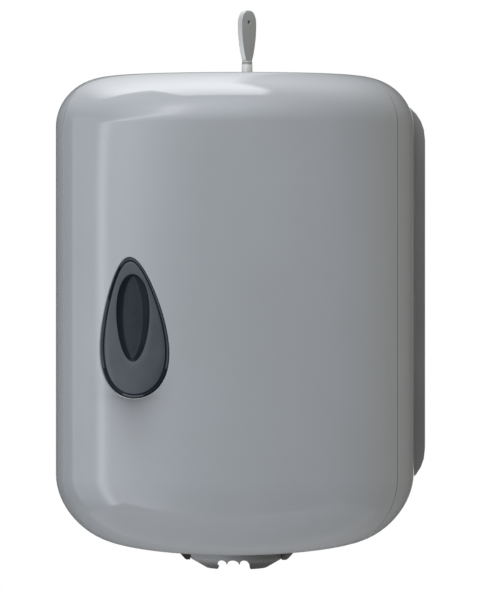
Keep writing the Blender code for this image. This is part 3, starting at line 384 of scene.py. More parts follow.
def newObject(name, bm, finish, smoothAngle=35):
    mesh = bpy.data.meshes.new(name)
    bm.to_mesh(mesh)
    bm.free()
    smoothed(mesh, smoothAngle)
    for each in finish if isinstance(finish, list) else [finish]:
        mesh.materials.append(finishes[each])
    obj = bpy.data.objects.new(name, mesh)
    scene.collection.objects.link(obj)
    return obj


def joinRings(bm, lower, upper, slotIndex=0):  # a band of quads between two rings
    for step in range(len(lower)):
        after = (step + 1) % len(lower)
        face = bm.faces.new((lower[step], lower[after], upper[after], upper[step]))
        face.material_index = slotIndex


def loft(bm, rows):  # rings of the same number of points, joined by quads
    grid = [[bm.verts.new(point) for point in row] for row in rows]
    for lower, upper in zip(grid, grid[1:]):
        joinRings(bm, lower, upper)
    return grid


def solid(name, rows, finish, hollow=False):  # a capped loft, or a ring whose last row joins its first
    bm = bmesh.new()
    grid = loft(bm, rows)
    if hollow:
        joinRings(bm, grid[-1], grid[0])
    else:
        bm.faces.new(list(reversed(grid[0])))
        bm.faces.new(grid[-1])
    bmesh.ops.recalc_face_normals(bm, faces=bm.faces)
    return newObject(name, bm, finish)


def circle(radius, steps):  # points about the origin
    turns = [2 * pi * step / steps for step in range(steps)]
    return [(radius * cos(turn), radius * sin(turn)) for turn in turns]


def turnedRows(profile, centre, steps):
    # profile of (radius, height) in mm about a vertical through centre
    return [[Vector((centre[0] + x, centre[1] + y, height)) * mm for x, y in circle(radius, steps)]
            for radius, height in profile]


def roundedProfile(points, radii, steps=4):
    # a closed profile, each corner rounded by its own radius
    result = []
    count = len(points)
    for number, (point, radius) in enumerate(zip(points, radii)):
        corner = Vector(point)
        before = Vector(points[number - 1]) - corner
        after = Vector(points[(number + 1) % count]) - corner
        if radius <= 0:
            result.append(tuple(corner))
            continue
        half = before.angle(after) / 2
        reach = min(radius / tan(half), before.length * 0.45, after.length * 0.45)
        start = corner + before.normalized() * reach
        end = corner + after.normalized() * reach
        for step in range(steps + 1):
            share = step / steps
            curve = (1 - share) ** 2 * start + 2 * share * (1 - share) * corner + share ** 2 * end
            result.append(tuple(curve))
    return result


def addBevel(obj, width, segments, angle):
    edge = obj.modifiers.new("edges", "BEVEL")
    edge.width = width * mm
    edge.segments = segments
    edge.limit_method = "ANGLE"
    edge.angle_limit = radians(angle)


def cutBy(obj, tools, operation="DIFFERENCE"):
    # Booleans are applied at once, so that no helper object stays behind
    for tool in tools:
        step = obj.modifiers.new("cut", "BOOLEAN")
        step.operation = operation
        step.solver = "EXACT"
        step.object = tool
    applied(obj)
    for tool in tools:
        bpy.data.objects.remove(tool, do_unlink=True)


def applied(obj, smoothAngle=35):
    bpy.context.view_layer.update()
    graph = bpy.context.evaluated_depsgraph_get()
    mesh = bpy.data.meshes.new_from_object(obj.evaluated_get(graph))
    obj.modifiers.clear()
    old = obj.data
    obj.data = mesh
    mesh.name = obj.name
    bpy.data.meshes.remove(old)
    if smoothAngle:
        smoothed(mesh, smoothAngle)


broken = dict(weld=2e-6, thin=1e-6, flat=0.6, edge=38, smooth=32)  # metres and degrees


def softened(node, finish, width):
    # a copy of a CAD node, welded and with its edges broken, that stands for it
    bm = bmesh.new()
    bm.from_mesh(frame["nodes"][node].data)
    bmesh.ops.remove_doubles(bm, verts=bm.verts, dist=broken["weld"])
    bmesh.ops.dissolve_degenerate(bm, edges=bm.edges, dist=broken["thin"])
    bmesh.ops.dissolve_limit(bm, angle_limit=radians(broken["flat"]), verts=bm.verts, edges=bm.edges)
    obj = newObject(node + "_skin", bm, finish, broken["smooth"])
    if width:
        addBevel(obj, width, segments=2, angle=broken["edge"])
        applied(obj, broken["smooth"])
    weigh = obj.modifiers.new("normals", "WEIGHTED_NORMAL")  # so that large flats shade flat
    weigh.keep_sharp = True
    applied(obj, 0)
    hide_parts(node)
    return obj


def bodyOf(node):
    bodies = frame["record"]["behaviour"]["bodies"]
    return next(body for body, nodes in bodies.items() if node in nodes)


# front cover

cover = dict(
    halfWidth=132, depth=188.5, rim=-60.6, top=159, bottom=-174.5, topRound=36, bottomRound=43,
    topCrown=1, bottomCrown=13, wall=2.8, rimRound=0.7, frontPower=2.19, sidePower=6.25,
    columns=104, roundRows=16, capShares=(0.12, 0.3, 0.48, 0.66, 0.82, 0.93), sideShares=(0.25, 0.5, 0.75),
    creaseTurn=25.2, creaseReach=0.6, creaseDepth=0.5, creaseFade=5, smooth=32)


def planPoint(turn):
    x = cover["halfWidth"] * abs(cos(turn)) ** (2 / cover["frontPower"])
    depth = cover["depth"] * abs(sin(turn)) ** (2 / cover["sidePower"])
    return (x if cos(turn) >= 0 else -x), depth


def surfaceY(x):
    across = min(abs(x / cover["halfWidth"]), 1) ** cover["frontPower"]
    return cover["rim"] - cover["depth"] * (1 - across) ** (1 / cover["sidePower"])


def coverRow(turns, inward, rounding, level, crown, share=1.0):
    row = []
    for turn in turns:
        x, depth = planPoint(turn)
        x *= (1 - inward * rounding / cover["halfWidth"]) * share
        depth *= (1 - inward * rounding / cover["depth"]) * share
        bulge = crown * (1 - (x / cover["halfWidth"]) ** 2)
        row.append(Vector((x, cover["rim"] - depth, level + bulge)))
    return row


def coverRows(turns):
    c = cover
    rows = []
    for share in c["capShares"]:
        rows.append(coverRow(turns, 1, c["bottomRound"], c["bottom"], -c["bottomCrown"], share))
    quarter = [pi / 2 * step / c["roundRows"] for step in range(c["roundRows"] + 1)]
    for angle in reversed(quarter):
        level = c["bottom"] + c["bottomRound"] * (1 - sin(angle))
        rows.append(coverRow(turns, 1 - cos(angle), c["bottomRound"], level, -c["bottomCrown"] * sin(angle)))
    low, high = c["bottom"] + c["bottomRound"], c["top"] - c["topRound"]
    for share in c["sideShares"]:
        rows.append(coverRow(turns, 0, 0, low + (high - low) * share, 0))
    for angle in quarter:
        level = c["top"] - c["topRound"] * (1 - sin(angle))
        rows.append(coverRow(turns, 1 - cos(angle), c["topRound"], level, c["topCrown"] * sin(angle)))
    for share in reversed(c["capShares"]):
        rows.append(coverRow(turns, 1, c["topRound"], c["top"], c["topCrown"], share))
    return rows


def coverTurns():
    # even columns, with three close ones at each crease
    turns = [pi * step / cover["columns"] for step in range(cover["columns"] + 1)]
    middles = (radians(cover["creaseTurn"]), pi - radians(cover["creaseTurn"]))
    for middle in middles:
        here, there = Vector(planPoint(middle)), Vector(planPoint(middle + 0.001))
        reach = 0.001 * cover["creaseReach"] / (there - here).length
        turns = [turn for turn in turns if abs(turn - middle) > 1.6 * reach]  # the nearest give way
        turns += [middle - reach, middle, middle + reach]
    turns.sort()
    return turns, [turns.index(middle) for middle in middles]


def makeCoverShell():
    turns, creases = coverTurns()
    bm = bmesh.new()
    rows = coverRows(turns)
    grid = [[bm.verts.new(point * mm) for point in row] for row in rows]
    low = bm.verts.new(Vector((0, cover["rim"], cover["bottom"] - cover["bottomCrown"])) * mm)
    high = bm.verts.new(Vector((0, cover["rim"], cover["top"] + cover["topCrown"])) * mm)
    last = len(turns) - 1
    first = len(cover["capShares"]) + 3  # crease fades out towards the flat top and bottom
    shaded = range(first + 3, len(grid) - first - 3)
    for number, (lower, upper) in enumerate(zip(grid, grid[1:])):
        for step in range(last):
            face = bm.faces.new((lower[step + 1], lower[step], upper[step], upper[step + 1]))
            # painted shade: faces along each crease take the darker crease finish
            scored = step in creases or step + 1 in creases
            face.material_index = 1 if scored and number in shaded else 0
    for step in range(last):
        bm.faces.new((low, grid[0][step], grid[0][step + 1]))
        bm.faces.new((grid[-1][step + 1], grid[-1][step], high))
    bm.normal_update()
    for number in range(first, len(grid) - first):
        edge = min(number - first, len(grid) - first - 1 - number)
        fade = min(1.0, (edge + 1) / cover["creaseFade"])
        for step in creases:
            vert = grid[number][step]
            vert.co -= vert.normal * cover["creaseDepth"] * fade * mm
    obj = newObject("cover_shell", bm, ["cover", "crease"])
    shell = obj.modifiers.new("wall", "SOLIDIFY")
    shell.thickness = cover["wall"] * mm
    shell.offset = -1
    shell.use_even_offset = True
    addBevel(obj, cover["rimRound"], segments=3, angle=64)
    applied(obj)
    return obj


window = dict(
    side=-66.396, drop=-23.2, width=52.4, height=100.3, lean=3.2, shares=(0.943, -0.36, 0.07),
    steps=120, lipRound=0.9, lipSteps=4, lipTurn=16, cutInside=16.8, cutOutside=8)
oval = dict(  # lip: margins, slope: shares of the way to the floor, each with its depth in the lens
    shift=-1.1, rise=7.0, width=25.0, height=62.1, shares=(1.0, 0.13, 0.03), dish=2.0,
    lip=((0.5, 0.0), (0.2, 0.06), (-0.1, 0.35)), slope=((0.3, 1.1), (0.8, 1.8)))
well = dict(  # floor of the oval, with pointed ends
    shift=-1.8, rise=7.4, width=15.2, height=58.3, shares=(1.0, 0.05, 0.0, 0.0, -0.35),
    core=0.6, coreLift=0.25, coreShares=(0.3, 0.6, 0.98))


def windowFrame():
    x, step = window["side"], window["width"] / 2
    slope = (surfaceY(x + step) - surfaceY(x - step)) / (2 * step)
    along = Vector((1, slope, 0)).normalized()
    up = Vector((0, 0, 1))
    turn = Matrix((along, up, along.cross(up))).transposed().to_4x4()
    return Matrix.Translation((x, surfaceY(x), window["drop"])) @ turn


def outlineOf(shape, margin=0.0, lean=0.0):
    # a drop: half width is a sine, swelled by the shares of the cosine
    points = []
    width, height = shape["width"] / 2 + margin, shape["height"] / 2 + margin
    for step in range(window["steps"]):
        angle = 2 * pi * step / window["steps"]
        level = cos(angle)
        swell = sum(share * level ** power for power, share in enumerate(shape["shares"]))
        x = width * sin(angle) * swell - lean * ((1 + level) / 2) ** 2
        points.append((x + shape.get("shift", 0), shape.get("rise", 0) + height * level))
    return points


def drop(margin=0.0):
    return outlineOf(window, margin, window["lean"])


def between(first, second, share):
    return [(a[0] + (b[0] - a[0]) * share, a[1] + (b[1] - a[1]) * share) for a, b in zip(first, second)]


def surfaceRow(place, outline, depth):
    # window-plane points dropped onto the cover's surface, then moved in by depth
    row = []
    inward = -(place.to_3x3() @ Vector((0, 0, 1)))
    for u, v in outline:
        start = place @ Vector((u, v, 0))
        reach = 0.0
        for _ in range(5):
            point = start + reach * inward
            reach += (surfaceY(point.x) - point.y) * inward.y
        point = start + reach * inward
        slope = (surfaceY(point.x + 0.05) - surfaceY(point.x - 0.05)) / 0.1
        normal = Vector((slope, -1, 0)).normalized()
        row.append((point - normal * depth) * mm)
    return row


def windowCutter():
    place = windowFrame()
    lip = window["lipRound"]
    rows = [surfaceRow(place, drop(), window["cutInside"]), surfaceRow(place, drop(), lip)]
    for step in range(1, window["lipSteps"] + 1):
        angle = radians(window["lipTurn"] * step)
        over, under = lip * (1 - cos(angle)), lip * (1 - sin(angle))
        rows.append(surfaceRow(place, drop(over), under))
    rows.append(surfaceRow(place, drop(over + window["cutOutside"]), under - window["cutOutside"]))
    return solid("window_cutter", rows, "cover")


notch = dict(half=45.5, front=-170.5, rear=-52.6, corner=14, steps=12, low=-200, high=-150)


def notchCutter():  # U-shaped, open to the rear
    half, corner = notch["half"], notch["corner"]
    quarter = [pi / 2 * step / notch["steps"] for step in range(notch["steps"] + 1)]
    outline = [(half, notch["rear"])]
    for side, angles in ((1, quarter), (-1, reversed(quarter))):
        for angle in angles:
            outline.append((side * (half - corner + corner * cos(angle)),
                            notch["front"] + corner - corner * sin(angle)))
    outline.append((-half, notch["rear"]))
    rows = [[Vector((x, y, level)) * mm for x, y in outline] for level in (notch["low"], notch["high"])]
    return solid("notch_cutter", rows, "cover")


coverShell = makeCoverShell()
cutBy(coverShell, [windowCutter(), notchCutter()])
smoothed(coverShell.data, cover["smooth"])
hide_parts("front_cover")
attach(coverShell, "cover")
print("cover shell made,", len(coverShell.data.polygons), "faces")


# what stands on the inside of the cover: knuckles, bosses and posts

hinge = dict(y=-70.0, z=-174.0, side=70, knuckle=12, radius=4.6, bore=2.15, chamfer=0.4, steps=40)
foot = dict(shorter=0.3, thinner=0.1, sunk=1.4, gap=0.6, rounding=0.3)  # against its knuckle and the cover


def makeKnuckle(name, side):
    h = hinge
    left, right = side - h["knuckle"] / 2, side + h["knuckle"] / 2
    bevelled = h["radius"] - h["chamfer"]
    profile = ((left, h["bore"]), (left, bevelled), (left + h["chamfer"], h["radius"]),
               (right - h["chamfer"], h["radius"]), (right, bevelled), (right, h["bore"]))
    rows = [[Vector((x, h["y"] + y, h["z"] + z)) * mm for y, z in circle(radius, h["steps"])]
            for x, radius in profile]
    return solid(name, rows, "cover", hollow=True)


def makeFoot(name, side):  # block that stands the knuckle on the cover's underside
    half, reach = hinge["knuckle"] / 2 - foot["shorter"], hinge["radius"] - foot["thinner"]
    sag = cover["bottomCrown"] * (1 - (side / cover["halfWidth"]) ** 2)
    low, high = cover["bottom"] - sag + foot["sunk"], hinge["z"] - hinge["bore"] - foot["gap"]
    bm = bmesh.new()
    bmesh.ops.create_cube(bm, size=1)
    bmesh.ops.scale(bm, vec=Vector((2 * half, 2 * reach, high - low)) * mm, verts=bm.verts)
    bmesh.ops.translate(bm, vec=Vector((side, hinge["y"], (low + high) / 2)) * mm, verts=bm.verts)
    bmesh.ops.bevel(bm, geom=list(bm.edges), offset=foot["rounding"] * mm, segments=2, affect="EDGES")
    return newObject(name, bm, "cover")


for hand, side in (("left", -hinge["side"]), ("right", hinge["side"])):
    for piece in (makeKnuckle("cover_knuckle_" + hand, side), makeFoot("cover_foot_" + hand, side)):
        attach(piece, "cover")


bosses = dict(x=13.1, spread=16, y=-86, radius=5, bore=2.2, low=149.7, high=157.6, chamfer=0.3, steps=32)


def makeBoss(number, x):
    b = bosses
    profile = [(b["radius"], b["high"]), (b["radius"], b["low"] + b["chamfer"]),
               (b["radius"] - b["chamfer"], b["low"]), (b["bore"], b["low"]), (b["bore"], b["high"])]
    piece = solid(f"cover_boss_{number}", turnedRows(profile, (x, b["y"]), b["steps"]), "cover", hollow=True)
    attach(piece, "cover")


for number, x in enumerate((bosses["x"] - bosses["spread"] / 2, bosses["x"] + bosses["spread"] / 2), 1):
    makeBoss(number, x)


posts = dict(margin=7.5, turns=(0.14, 0.39, 0.61, 0.86), holes=36, radius=2, start=1.2, proud=1.5, back=7.4,
             taper=0.5, tipShare=0.72, steps=24)


def makePost(number, u, v):
    p = posts
    place = windowFrame()
    inward = -(place.to_3x3() @ Vector((0, 0, 1)))
    base = surfaceRow(place, [(u, v)], 0)[0] / mm
    side = place.to_3x3() @ Vector((1, 0, 0))
    up = Vector((0, 0, 1))
    tip = p["back"] + p["proud"]
    profile = ((p["start"], p["radius"]), (tip - p["taper"], p["radius"]), (tip, p["radius"] * p["tipShare"]))
    rows = [[(base + inward * depth + side * x + up * z) * mm for x, z in circle(radius, p["steps"])]
            for depth, radius in profile]
    piece = solid(f"cover_post_{number}", rows, "cover")
    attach(piece, "cover")


postOutline = drop(posts["margin"])
for number, turn in enumerate(posts["turns"], 1):
    hole = round(turn * posts["holes"]) % posts["holes"]  # same places as the holes in the retainer
    makePost(number, *postOutline[hole * window["steps"] // posts["holes"]])
print("cover fittings made")


# window lens

lens = dict(
    gap=0.3, flange=4, flangeThick=2, flangeOuter=0.4, flangeInner=0.3, seat=3.1, face=1.0,
    middle=(-1.0, -4.0), backMargin=-3, backShares=(0.04, 0.3, 0.6, 0.85, 1), faceShares=(0.25, 0.5, 0.75),
    border=((-0.3, 1.5), (-0.42, 1.15), (-0.75, 0.85), (-1.2, 0.75), (-1.6, 0.85),  # margins and depths
            (-1.9, 1.2), (-2.15, 1.45), (-2.5, 1.5), (-2.8, 1.3), (-3.1, 1.08), (-3.6, 1.0)),
    borderBands=(9, 15), grooveBands=(15, 19),  # counted from the middle of the back
    shaded=((-68, -28), (-166, -128), (126, 166)),  # where the border gets painted shade, in degrees from the top
    smooth=50)
lensSlots = ["lens", "dish", "wall", "border"]


def shadeBorder(bm, grid):  # painted shade: the groove and the border's shaded parts get the wall's dark finish, to look like the wall
    rowOf = {vert: number for number, row in enumerate(grid) for vert in row}
    stepOf = {vert: step for row in grid for step, vert in enumerate(row)}
    wall, border = lensSlots.index("wall"), lensSlots.index("border")
    for face in bm.faces:
        number = min(rowOf[vert] for vert in face.verts)
        turn = 360 * min(stepOf[vert] for vert in face.verts) / window["steps"]
        dark = any(low <= turn <= high or low <= turn - 360 <= high for low, high in lens["shaded"])
        if number in range(*lens["borderBands"]):
            face.material_index = wall if dark else border
        elif number in range(*lens["grooveBands"]):
            face.material_index = wall


def lensRows():
    # outline and depth of each ring, from the middle of the back round the flange to the oval
    flat, seat, flange = lens["seat"] + lens["flangeThick"], lens["seat"], lens["flange"]
    middle, back = [lens["middle"]] * window["steps"], drop(lens["backMargin"])
    rows = [(between(middle, back, share), flat) for share in lens["backShares"]]
    rows += [
        (drop(flange - lens["flangeOuter"]), flat), (drop(flange), flat - lens["flangeOuter"]),
        (drop(flange), seat + lens["flangeInner"]), (drop(flange - lens["flangeInner"]), seat),
        (drop(-lens["gap"]), seat)]
    rows += [(drop(margin), depth) for margin, depth in lens["border"]]
    face, lip = rows[-1][0], lipRows()
    rows += [(between(face, lip[0][0], share), lens["face"]) for share in lens["faceShares"]]
    return rows + lip[:2]


def lipRows():
    return [(outlineOf(oval, margin), lens["face"] + depth) for margin, depth in oval["lip"]]


def dishRows():
    rows = lipRows()[1:]
    top, floor, low = rows[-1][0], outlineOf(well), lens["face"] + oval["dish"]
    core = [(well["shift"], well["rise"] + (z - well["rise"]) * well["core"]) for _, z in floor]
    rows += [(between(top, floor, share), lens["face"] + depth) for share, depth in oval["slope"]]
    rows.append((floor, low))
    rows += [(between(floor, core, share), low - well["coreLift"] * share) for share in well["coreShares"]]
    return rows


def makeWindowLens():
    place = windowFrame()
    bm = bmesh.new()
    grid = loft(bm, [surfaceRow(place, outline, depth) for outline, depth in lensRows()])
    shadeBorder(bm, grid)
    walls = len(oval["slope"]) + 2  # the bands down to the floor of the dish
    dish = [[bm.verts.new(point) for point in surfaceRow(place, outline, depth)]
            for outline, depth in dishRows()]
    for number, (lower, upper) in enumerate(zip(dish, dish[1:])):
        joinRings(bm, lower, upper, lensSlots.index("wall" if number < walls else "dish"))
    bm.faces.new(dish[-1]).material_index = lensSlots.index("dish")
    bm.faces.new(list(reversed(grid[0])))
    bmesh.ops.remove_doubles(bm, verts=bm.verts, dist=1e-7)
    bmesh.ops.recalc_face_normals(bm, faces=bm.faces)
    obj = newObject("window_lens_skin", bm, lensSlots, lens["smooth"])
    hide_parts("window_lens")
    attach(obj, "cover")


makeWindowLens()
print("window lens made")


# collar and nozzle

axisY = -125
collar = dict(
    radius=42, top=-176, edge=-192.6, end=-196.6, toe=38.2, shoulder=-189.6, bore=35.1, sleeve=39.3,
    rounds=(0.5, 1.6, 0.9, 0.4, 0.3, 0, 0.4), tab=30, tabStep=0.3, cutOver=6, bevel=0.35, steps=144)


def makeCollar():
    c = collar
    points = [(c["radius"], c["top"]), (c["radius"], c["edge"]), (c["toe"], c["end"]), (c["bore"], c["end"]),
              (c["bore"], c["shoulder"]), (c["sleeve"], c["shoulder"]), (c["sleeve"], c["top"])]
    profile = roundedProfile(points, c["rounds"])
    piece = solid("collar_ring", turnedRows(profile, (0, axisY), c["steps"]), "collar", hollow=True)
    over, width = c["cutOver"], radians(180 - c["tab"])
    low, high = c["end"] - over, c["shoulder"] + c["tabStep"]
    cutBy(piece, [sector(middle, width, c["bore"] - over, c["radius"] + over, low, high)
                  for middle in (pi / 2, -pi / 2)])
    addBevel(piece, c["bevel"], segments=2, angle=60)
    applied(piece)
    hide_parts("nozzle_collar")
    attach(piece, "back")


def sector(middle, width, inner, outer, low, high, steps=24):  # part of a ring about the nozzle's axis
    arc = [middle - width / 2 + width * step / steps for step in range(steps + 1)]
    outline = [(outer * cos(angle), outer * sin(angle)) for angle in arc]
    outline += [(inner * cos(angle), inner * sin(angle)) for angle in reversed(arc)]
    rows = [[Vector((x, axisY + y, level)) * mm for x, y in outline] for level in (low, high)]
    return solid("sector", rows, "collar")


nozzle = dict(
    radius=34.8, wall=2, coneTop=-195.6, lip=22.3, end=-202.8, hole=14, top=-187.0, steps=144,
    rounds=(0.4, 3.0, 2.2, 0.8, 0.8, 2.0, 2.0, 0.4),
    lug=24, lugLow=-189.3, lugDrop=0.3, lugGap=0.45, lugSunk=1,
    notch=23.6, notchSide=-0.8, notchTop=-195.2, notchSteps=16, tooth=-198.4, toothGap=9.2, toothFlat=0.5,
    flare=0.5, flareLow=0.2, flareHigh=1.2, cutUnder=6, cutOver=45, rearOver=3, rearFrom=0.1, smooth=38)


def notchOutline(over=0.0):
    n = nozzle
    half, tip, under = n["notch"] / 2 + over, n["toothGap"] / 2, n["end"] - n["cutUnder"]
    low, high, flat = n["end"] + n["flareLow"], n["end"] + n["flareHigh"], n["toothFlat"] / 2
    rise = n["notchTop"] - n["tooth"]
    points = [(-half - n["flare"], under), (-half - n["flare"], low), (-half, high), (-half, n["tooth"])]
    for start, end in ((-half, -tip), (-tip, tip), (tip, half)):
        middle, reach = (start + end) / 2, (end - start) / 2 - flat
        for step in range(1, n["notchSteps"]):
            angle = pi * (1 - step / n["notchSteps"])
            points.append((middle + reach * cos(angle), n["tooth"] + rise * sin(angle)))
        if end < half:
            points += [(end - flat, n["tooth"]), (end + flat, n["tooth"])]
    points += [(half, n["tooth"]), (half, high), (half + n["flare"], low), (half + n["flare"], under)]
    return [(x + n["notchSide"], z) for x, z in points]


def makeNozzle():
    n = nozzle
    inside = n["radius"] - n["wall"]
    points = [(n["radius"], n["top"]), (n["radius"], n["coneTop"]), (n["lip"], n["end"]),
              (n["hole"], n["end"]), (n["hole"], n["end"] + n["wall"]), (n["lip"] - 1, n["end"] + n["wall"]),
              (inside, n["coneTop"] + 1), (inside, n["top"])]
    profile = roundedProfile(points, n["rounds"], 6)
    piece = solid("nozzle_bowl", turnedRows(profile, (0, axisY), n["steps"]), "nozzle", hollow=True)
    cutters = []
    for outline, ends in ((notchOutline(), (-n["cutOver"], 0)),
                          (notchOutline(n["rearOver"]), (n["rearFrom"], n["cutOver"]))):
        rows = [[Vector((x, axisY + y, z)) * mm for x, z in outline] for y in ends]
        cutters.append(solid("notch", rows, "nozzle"))
    cutBy(piece, cutters)
    inner, outer = n["radius"] - n["lugSunk"], collar["sleeve"] - n["lugGap"]
    cutBy(piece, [sector(middle, radians(n["lug"]), inner, outer, n["lugLow"], n["top"] - n["lugDrop"])
                  for middle in (0, pi)], "UNION")
    smoothed(piece.data, n["smooth"])
    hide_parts("tear_nozzle")
    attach(piece, "nozzle")


makeCollar()
makeNozzle()
print("collar and nozzle made")


# key

key = dict(
    turn=42, x=1.6, y=-14, top=220.3, bowBottom=180, width=14.8, thick=5.4, neck=5, shank=4.2, shankTop=181,
    crownPower=2.3, taperPower=0.75, hole=1.3, holeDrop=9.3, widest=0.72, low=154.9, seat=165.2,
    square=5.0, corner=0.8, grooveLow=177.6, grooveHigh=181.2,
    bowLevels=(0.76, 0.8, 0.84, 0.88, 0.91, 0.94, 0.96, 0.975, 0.987, 0.995), bowRound=0.96, bowLeast=0.9,
    foot=((0.3, 0.3), (0, 0.7)),  # how far in from the shank's side, and how far up from the seat
    head=((0, 3.0), (0.35, 2.5), (0.35, 1.8), (0, 1.3), (0.25, 0.5), (0.9, 0)),  # and down from its top
    squareShrink=0.8, squareLead=0.6, squareOver=1.2, holeFlare=2.4, holeOver=2, holeEdge=0.4,
    flatFrom=1.2, flatFacing=0.8, eyeRim=1.5, steps=48, smooth=40)


def bowHalf(level):
    # half width of the bow at a height above its bottom, 0 to 1
    k = key
    half, neck = k["width"] / 2, k["neck"] / 2
    if level >= k["widest"]:
        share = (level - k["widest"]) / (1 - k["widest"])
        return half * max(1 - share ** k["crownPower"], 0) ** (1 / k["crownPower"])
    return neck + (half - neck) * cos((1 - level / k["widest"]) * pi / 2) ** k["taperPower"]


def roundedBar(half, thick, corner, height, steps=4):
    # a level section of the bow, a rectangle with round corners
    points = []
    corner = min(corner, half * 0.9, thick * 0.9)
    for x, y, quarter in ((1, 1, 0), (-1, 1, 1), (-1, -1, 2), (1, -1, 3)):
        for step in range(steps + 1):
            angle = pi / 2 * (quarter + step / steps)
            points.append(Vector((x * (half - corner) + corner * cos(angle),
                                  y * (thick - corner) + corner * sin(angle), height)))
    return points


def keyPlace():
    return Matrix.Translation((key["x"], key["y"], 0)) @ Matrix.Rotation(radians(key["turn"]), 4, "Z")


def makeBow():
    k = key
    height = k["top"] - k["bowBottom"]
    rows = []
    for level in [0.0, 0.03] + [0.06 * step for step in range(1, 13)] + list(k["bowLevels"]):
        over = max(level - k["bowRound"], 0) / (1 - k["bowRound"])
        thick = k["thick"] / 2 - k["corner"] * (1 - (1 - over ** 2) ** 0.5)
        half = max(bowHalf(level), k["bowLeast"])
        row = roundedBar(half, thick, k["corner"], k["bowBottom"] + height * level)
        rows.append([keyPlace() @ point * mm for point in row])
    return solid("key_bow", rows, "key")


def shadeKey(piece):  # painted light: the edges and shank get the paler copy of the key's finish, the flats, groove and eye the grey one
    piece.data.materials.clear()
    for name in ("key", "keyEdge"):
        piece.data.materials.append(finishes[name])
    back = keyPlace().inverted()
    for face in piece.data.polygons:
        place = back @ (face.center / mm)
        facing = abs((back.to_3x3() @ face.normal).y) > key["flatFacing"]
        flat = facing and place.z > key["bowBottom"] + key["flatFrom"]
        groove = key["grooveLow"] < place.z < key["grooveHigh"]
        eye = Vector((place.x, place.z - key["top"] + key["holeDrop"])).length < key["hole"] + key["eyeRim"]
        face.material_index = 0 if flat or groove or eye else 1


def makeShank():
    k = key
    profile = [(k["shank"] - inward, k["seat"] + up) for inward, up in k["foot"]]
    profile += [(k["shank"] - inward, k["shankTop"] - down) for inward, down in k["head"]]
    return solid("key_shank", turnedRows(profile, (k["x"], k["y"]), k["steps"]), "key")


def makeSquare():
    k = key
    half = k["square"] / 2
    corners = [(-half, -half), (half, -half), (half, half), (-half, half)]
    levels = ((k["low"], k["squareShrink"]), (k["low"] + k["squareLead"], 1),
              (k["seat"] + k["squareOver"], 1))
    rows = [[keyPlace() @ Vector((x * shrink, y * shrink, z)) * mm for x, y in corners]
            for z, shrink in levels]
    return solid("square", rows, "key")


def makeHole():
    k = key
    level, reach, wide = k["top"] - k["holeDrop"], k["thick"] / 2, k["hole"] + k["holeFlare"]
    inner, outer = reach - k["holeEdge"], reach + k["holeOver"]
    profile = ((-outer, wide), (-inner, k["hole"]), (inner, k["hole"]), (outer, wide))
    rows = [[keyPlace() @ Vector((x, y, level + z)) * mm for x, z in circle(radius, 32)]
            for y, radius in profile]
    return solid("eye", rows, "key")


def makeKey():
    piece = makeBow()
    piece.name = "key_body"
    cutBy(piece, [makeShank(), makeSquare()], "UNION")
    cutBy(piece, [makeHole()])
    shadeKey(piece)
    smoothed(piece.data, key["smooth"])
    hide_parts("key")
    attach(piece, "key")


makeKey()
print("key made")


# the rest keep their CAD shapes, with broken edges

dressed = dict(
    back_housing=("housing", 0.45), roll_shelf=("shelf", 0.4), latch_tongue=("housing", 0.4),
    window_retainer=("housing", 0.0), lock_barrel=("steel", 0.25), lock_nut=("steel", 0.3),
    lock_plug=("steel", 0.2), lock_cam=("steel", 0.3), cam_screw=("steel", 0.25),
    hinge_pin_left=("steel", 0.25), hinge_pin_right=("steel", 0.25))
screws = [f"shelf_screw_{number}" for number in range(1, 5)] + ["tongue_screw_1", "tongue_screw_2"]
dressed.update({screw: ("steel", 0.3) for screw in screws})
for node, (finish, width) in dressed.items():
    piece = softened(node, finish, width)
    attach(piece, bodyOf(node))
print("other nodes dressed,", len(dressed))


# floor, light and air

studio = dict(floor=-1.2, reach=1.3, behind=0.4,  # short behind, or the cover's lower rim shows it
              dark=0.5, light=0.54, rough=0.8, glow=0.75)
# light from each side, and soft boxes: turn in degrees from the front to the left, rise in degrees above
# level, and the panel and the ceiling are drawn on a plane one unit up
air = dict(
    up=0.6, below=1.1, front=0.2, back=0.13, right=0.6, dome=2.1, domeSpread=30, horizon=(0.05, 0.1),
    panel=5.6, panelSide=(-1.1, -0.5, -0.07, -0.01), panelLean=0.12, panelLeanFrom=(-0.35, 0.2),
    panelFront=-0.5, panelStep=0.4, panelTurn=(-0.36, -0.24), panelEdge=0.05,
    panelMiddle=-0.15, panelFall=0.5,
    ceiling=0.4, ceilingSide=(-3.0, -1.0, -0.15, 0.2), ceilingDepth=(-1.2, 0.2, 2.0, 3.0),
    left=0.82, leftTurn=(58, 80, 104, 107), leftRise=(-44, -22, 8, 20),
    streak=2.3, streakLine=((2, 60), (5, 58), (8, 44), (15, 28), (21, 21), (43, 20)), streakSpread=5.5,
    streakRise=(-50, -40, 30, 46),
    wide=2.0, wideLine=((0, 45), (4, 42), (15, 26), (40, 16)), wideSpread=24, wideRise=(-60, -45, 35, 60),
    fill=1.27, fillTurn=20, fillSpread=50, fillRise=(-10, 30, 50, 70),
    cool=rgb(0.975, 1.0, 1.05), warm=rgb(1.08, 1.01, 0.88), backdrop=(0.994, 0.999))


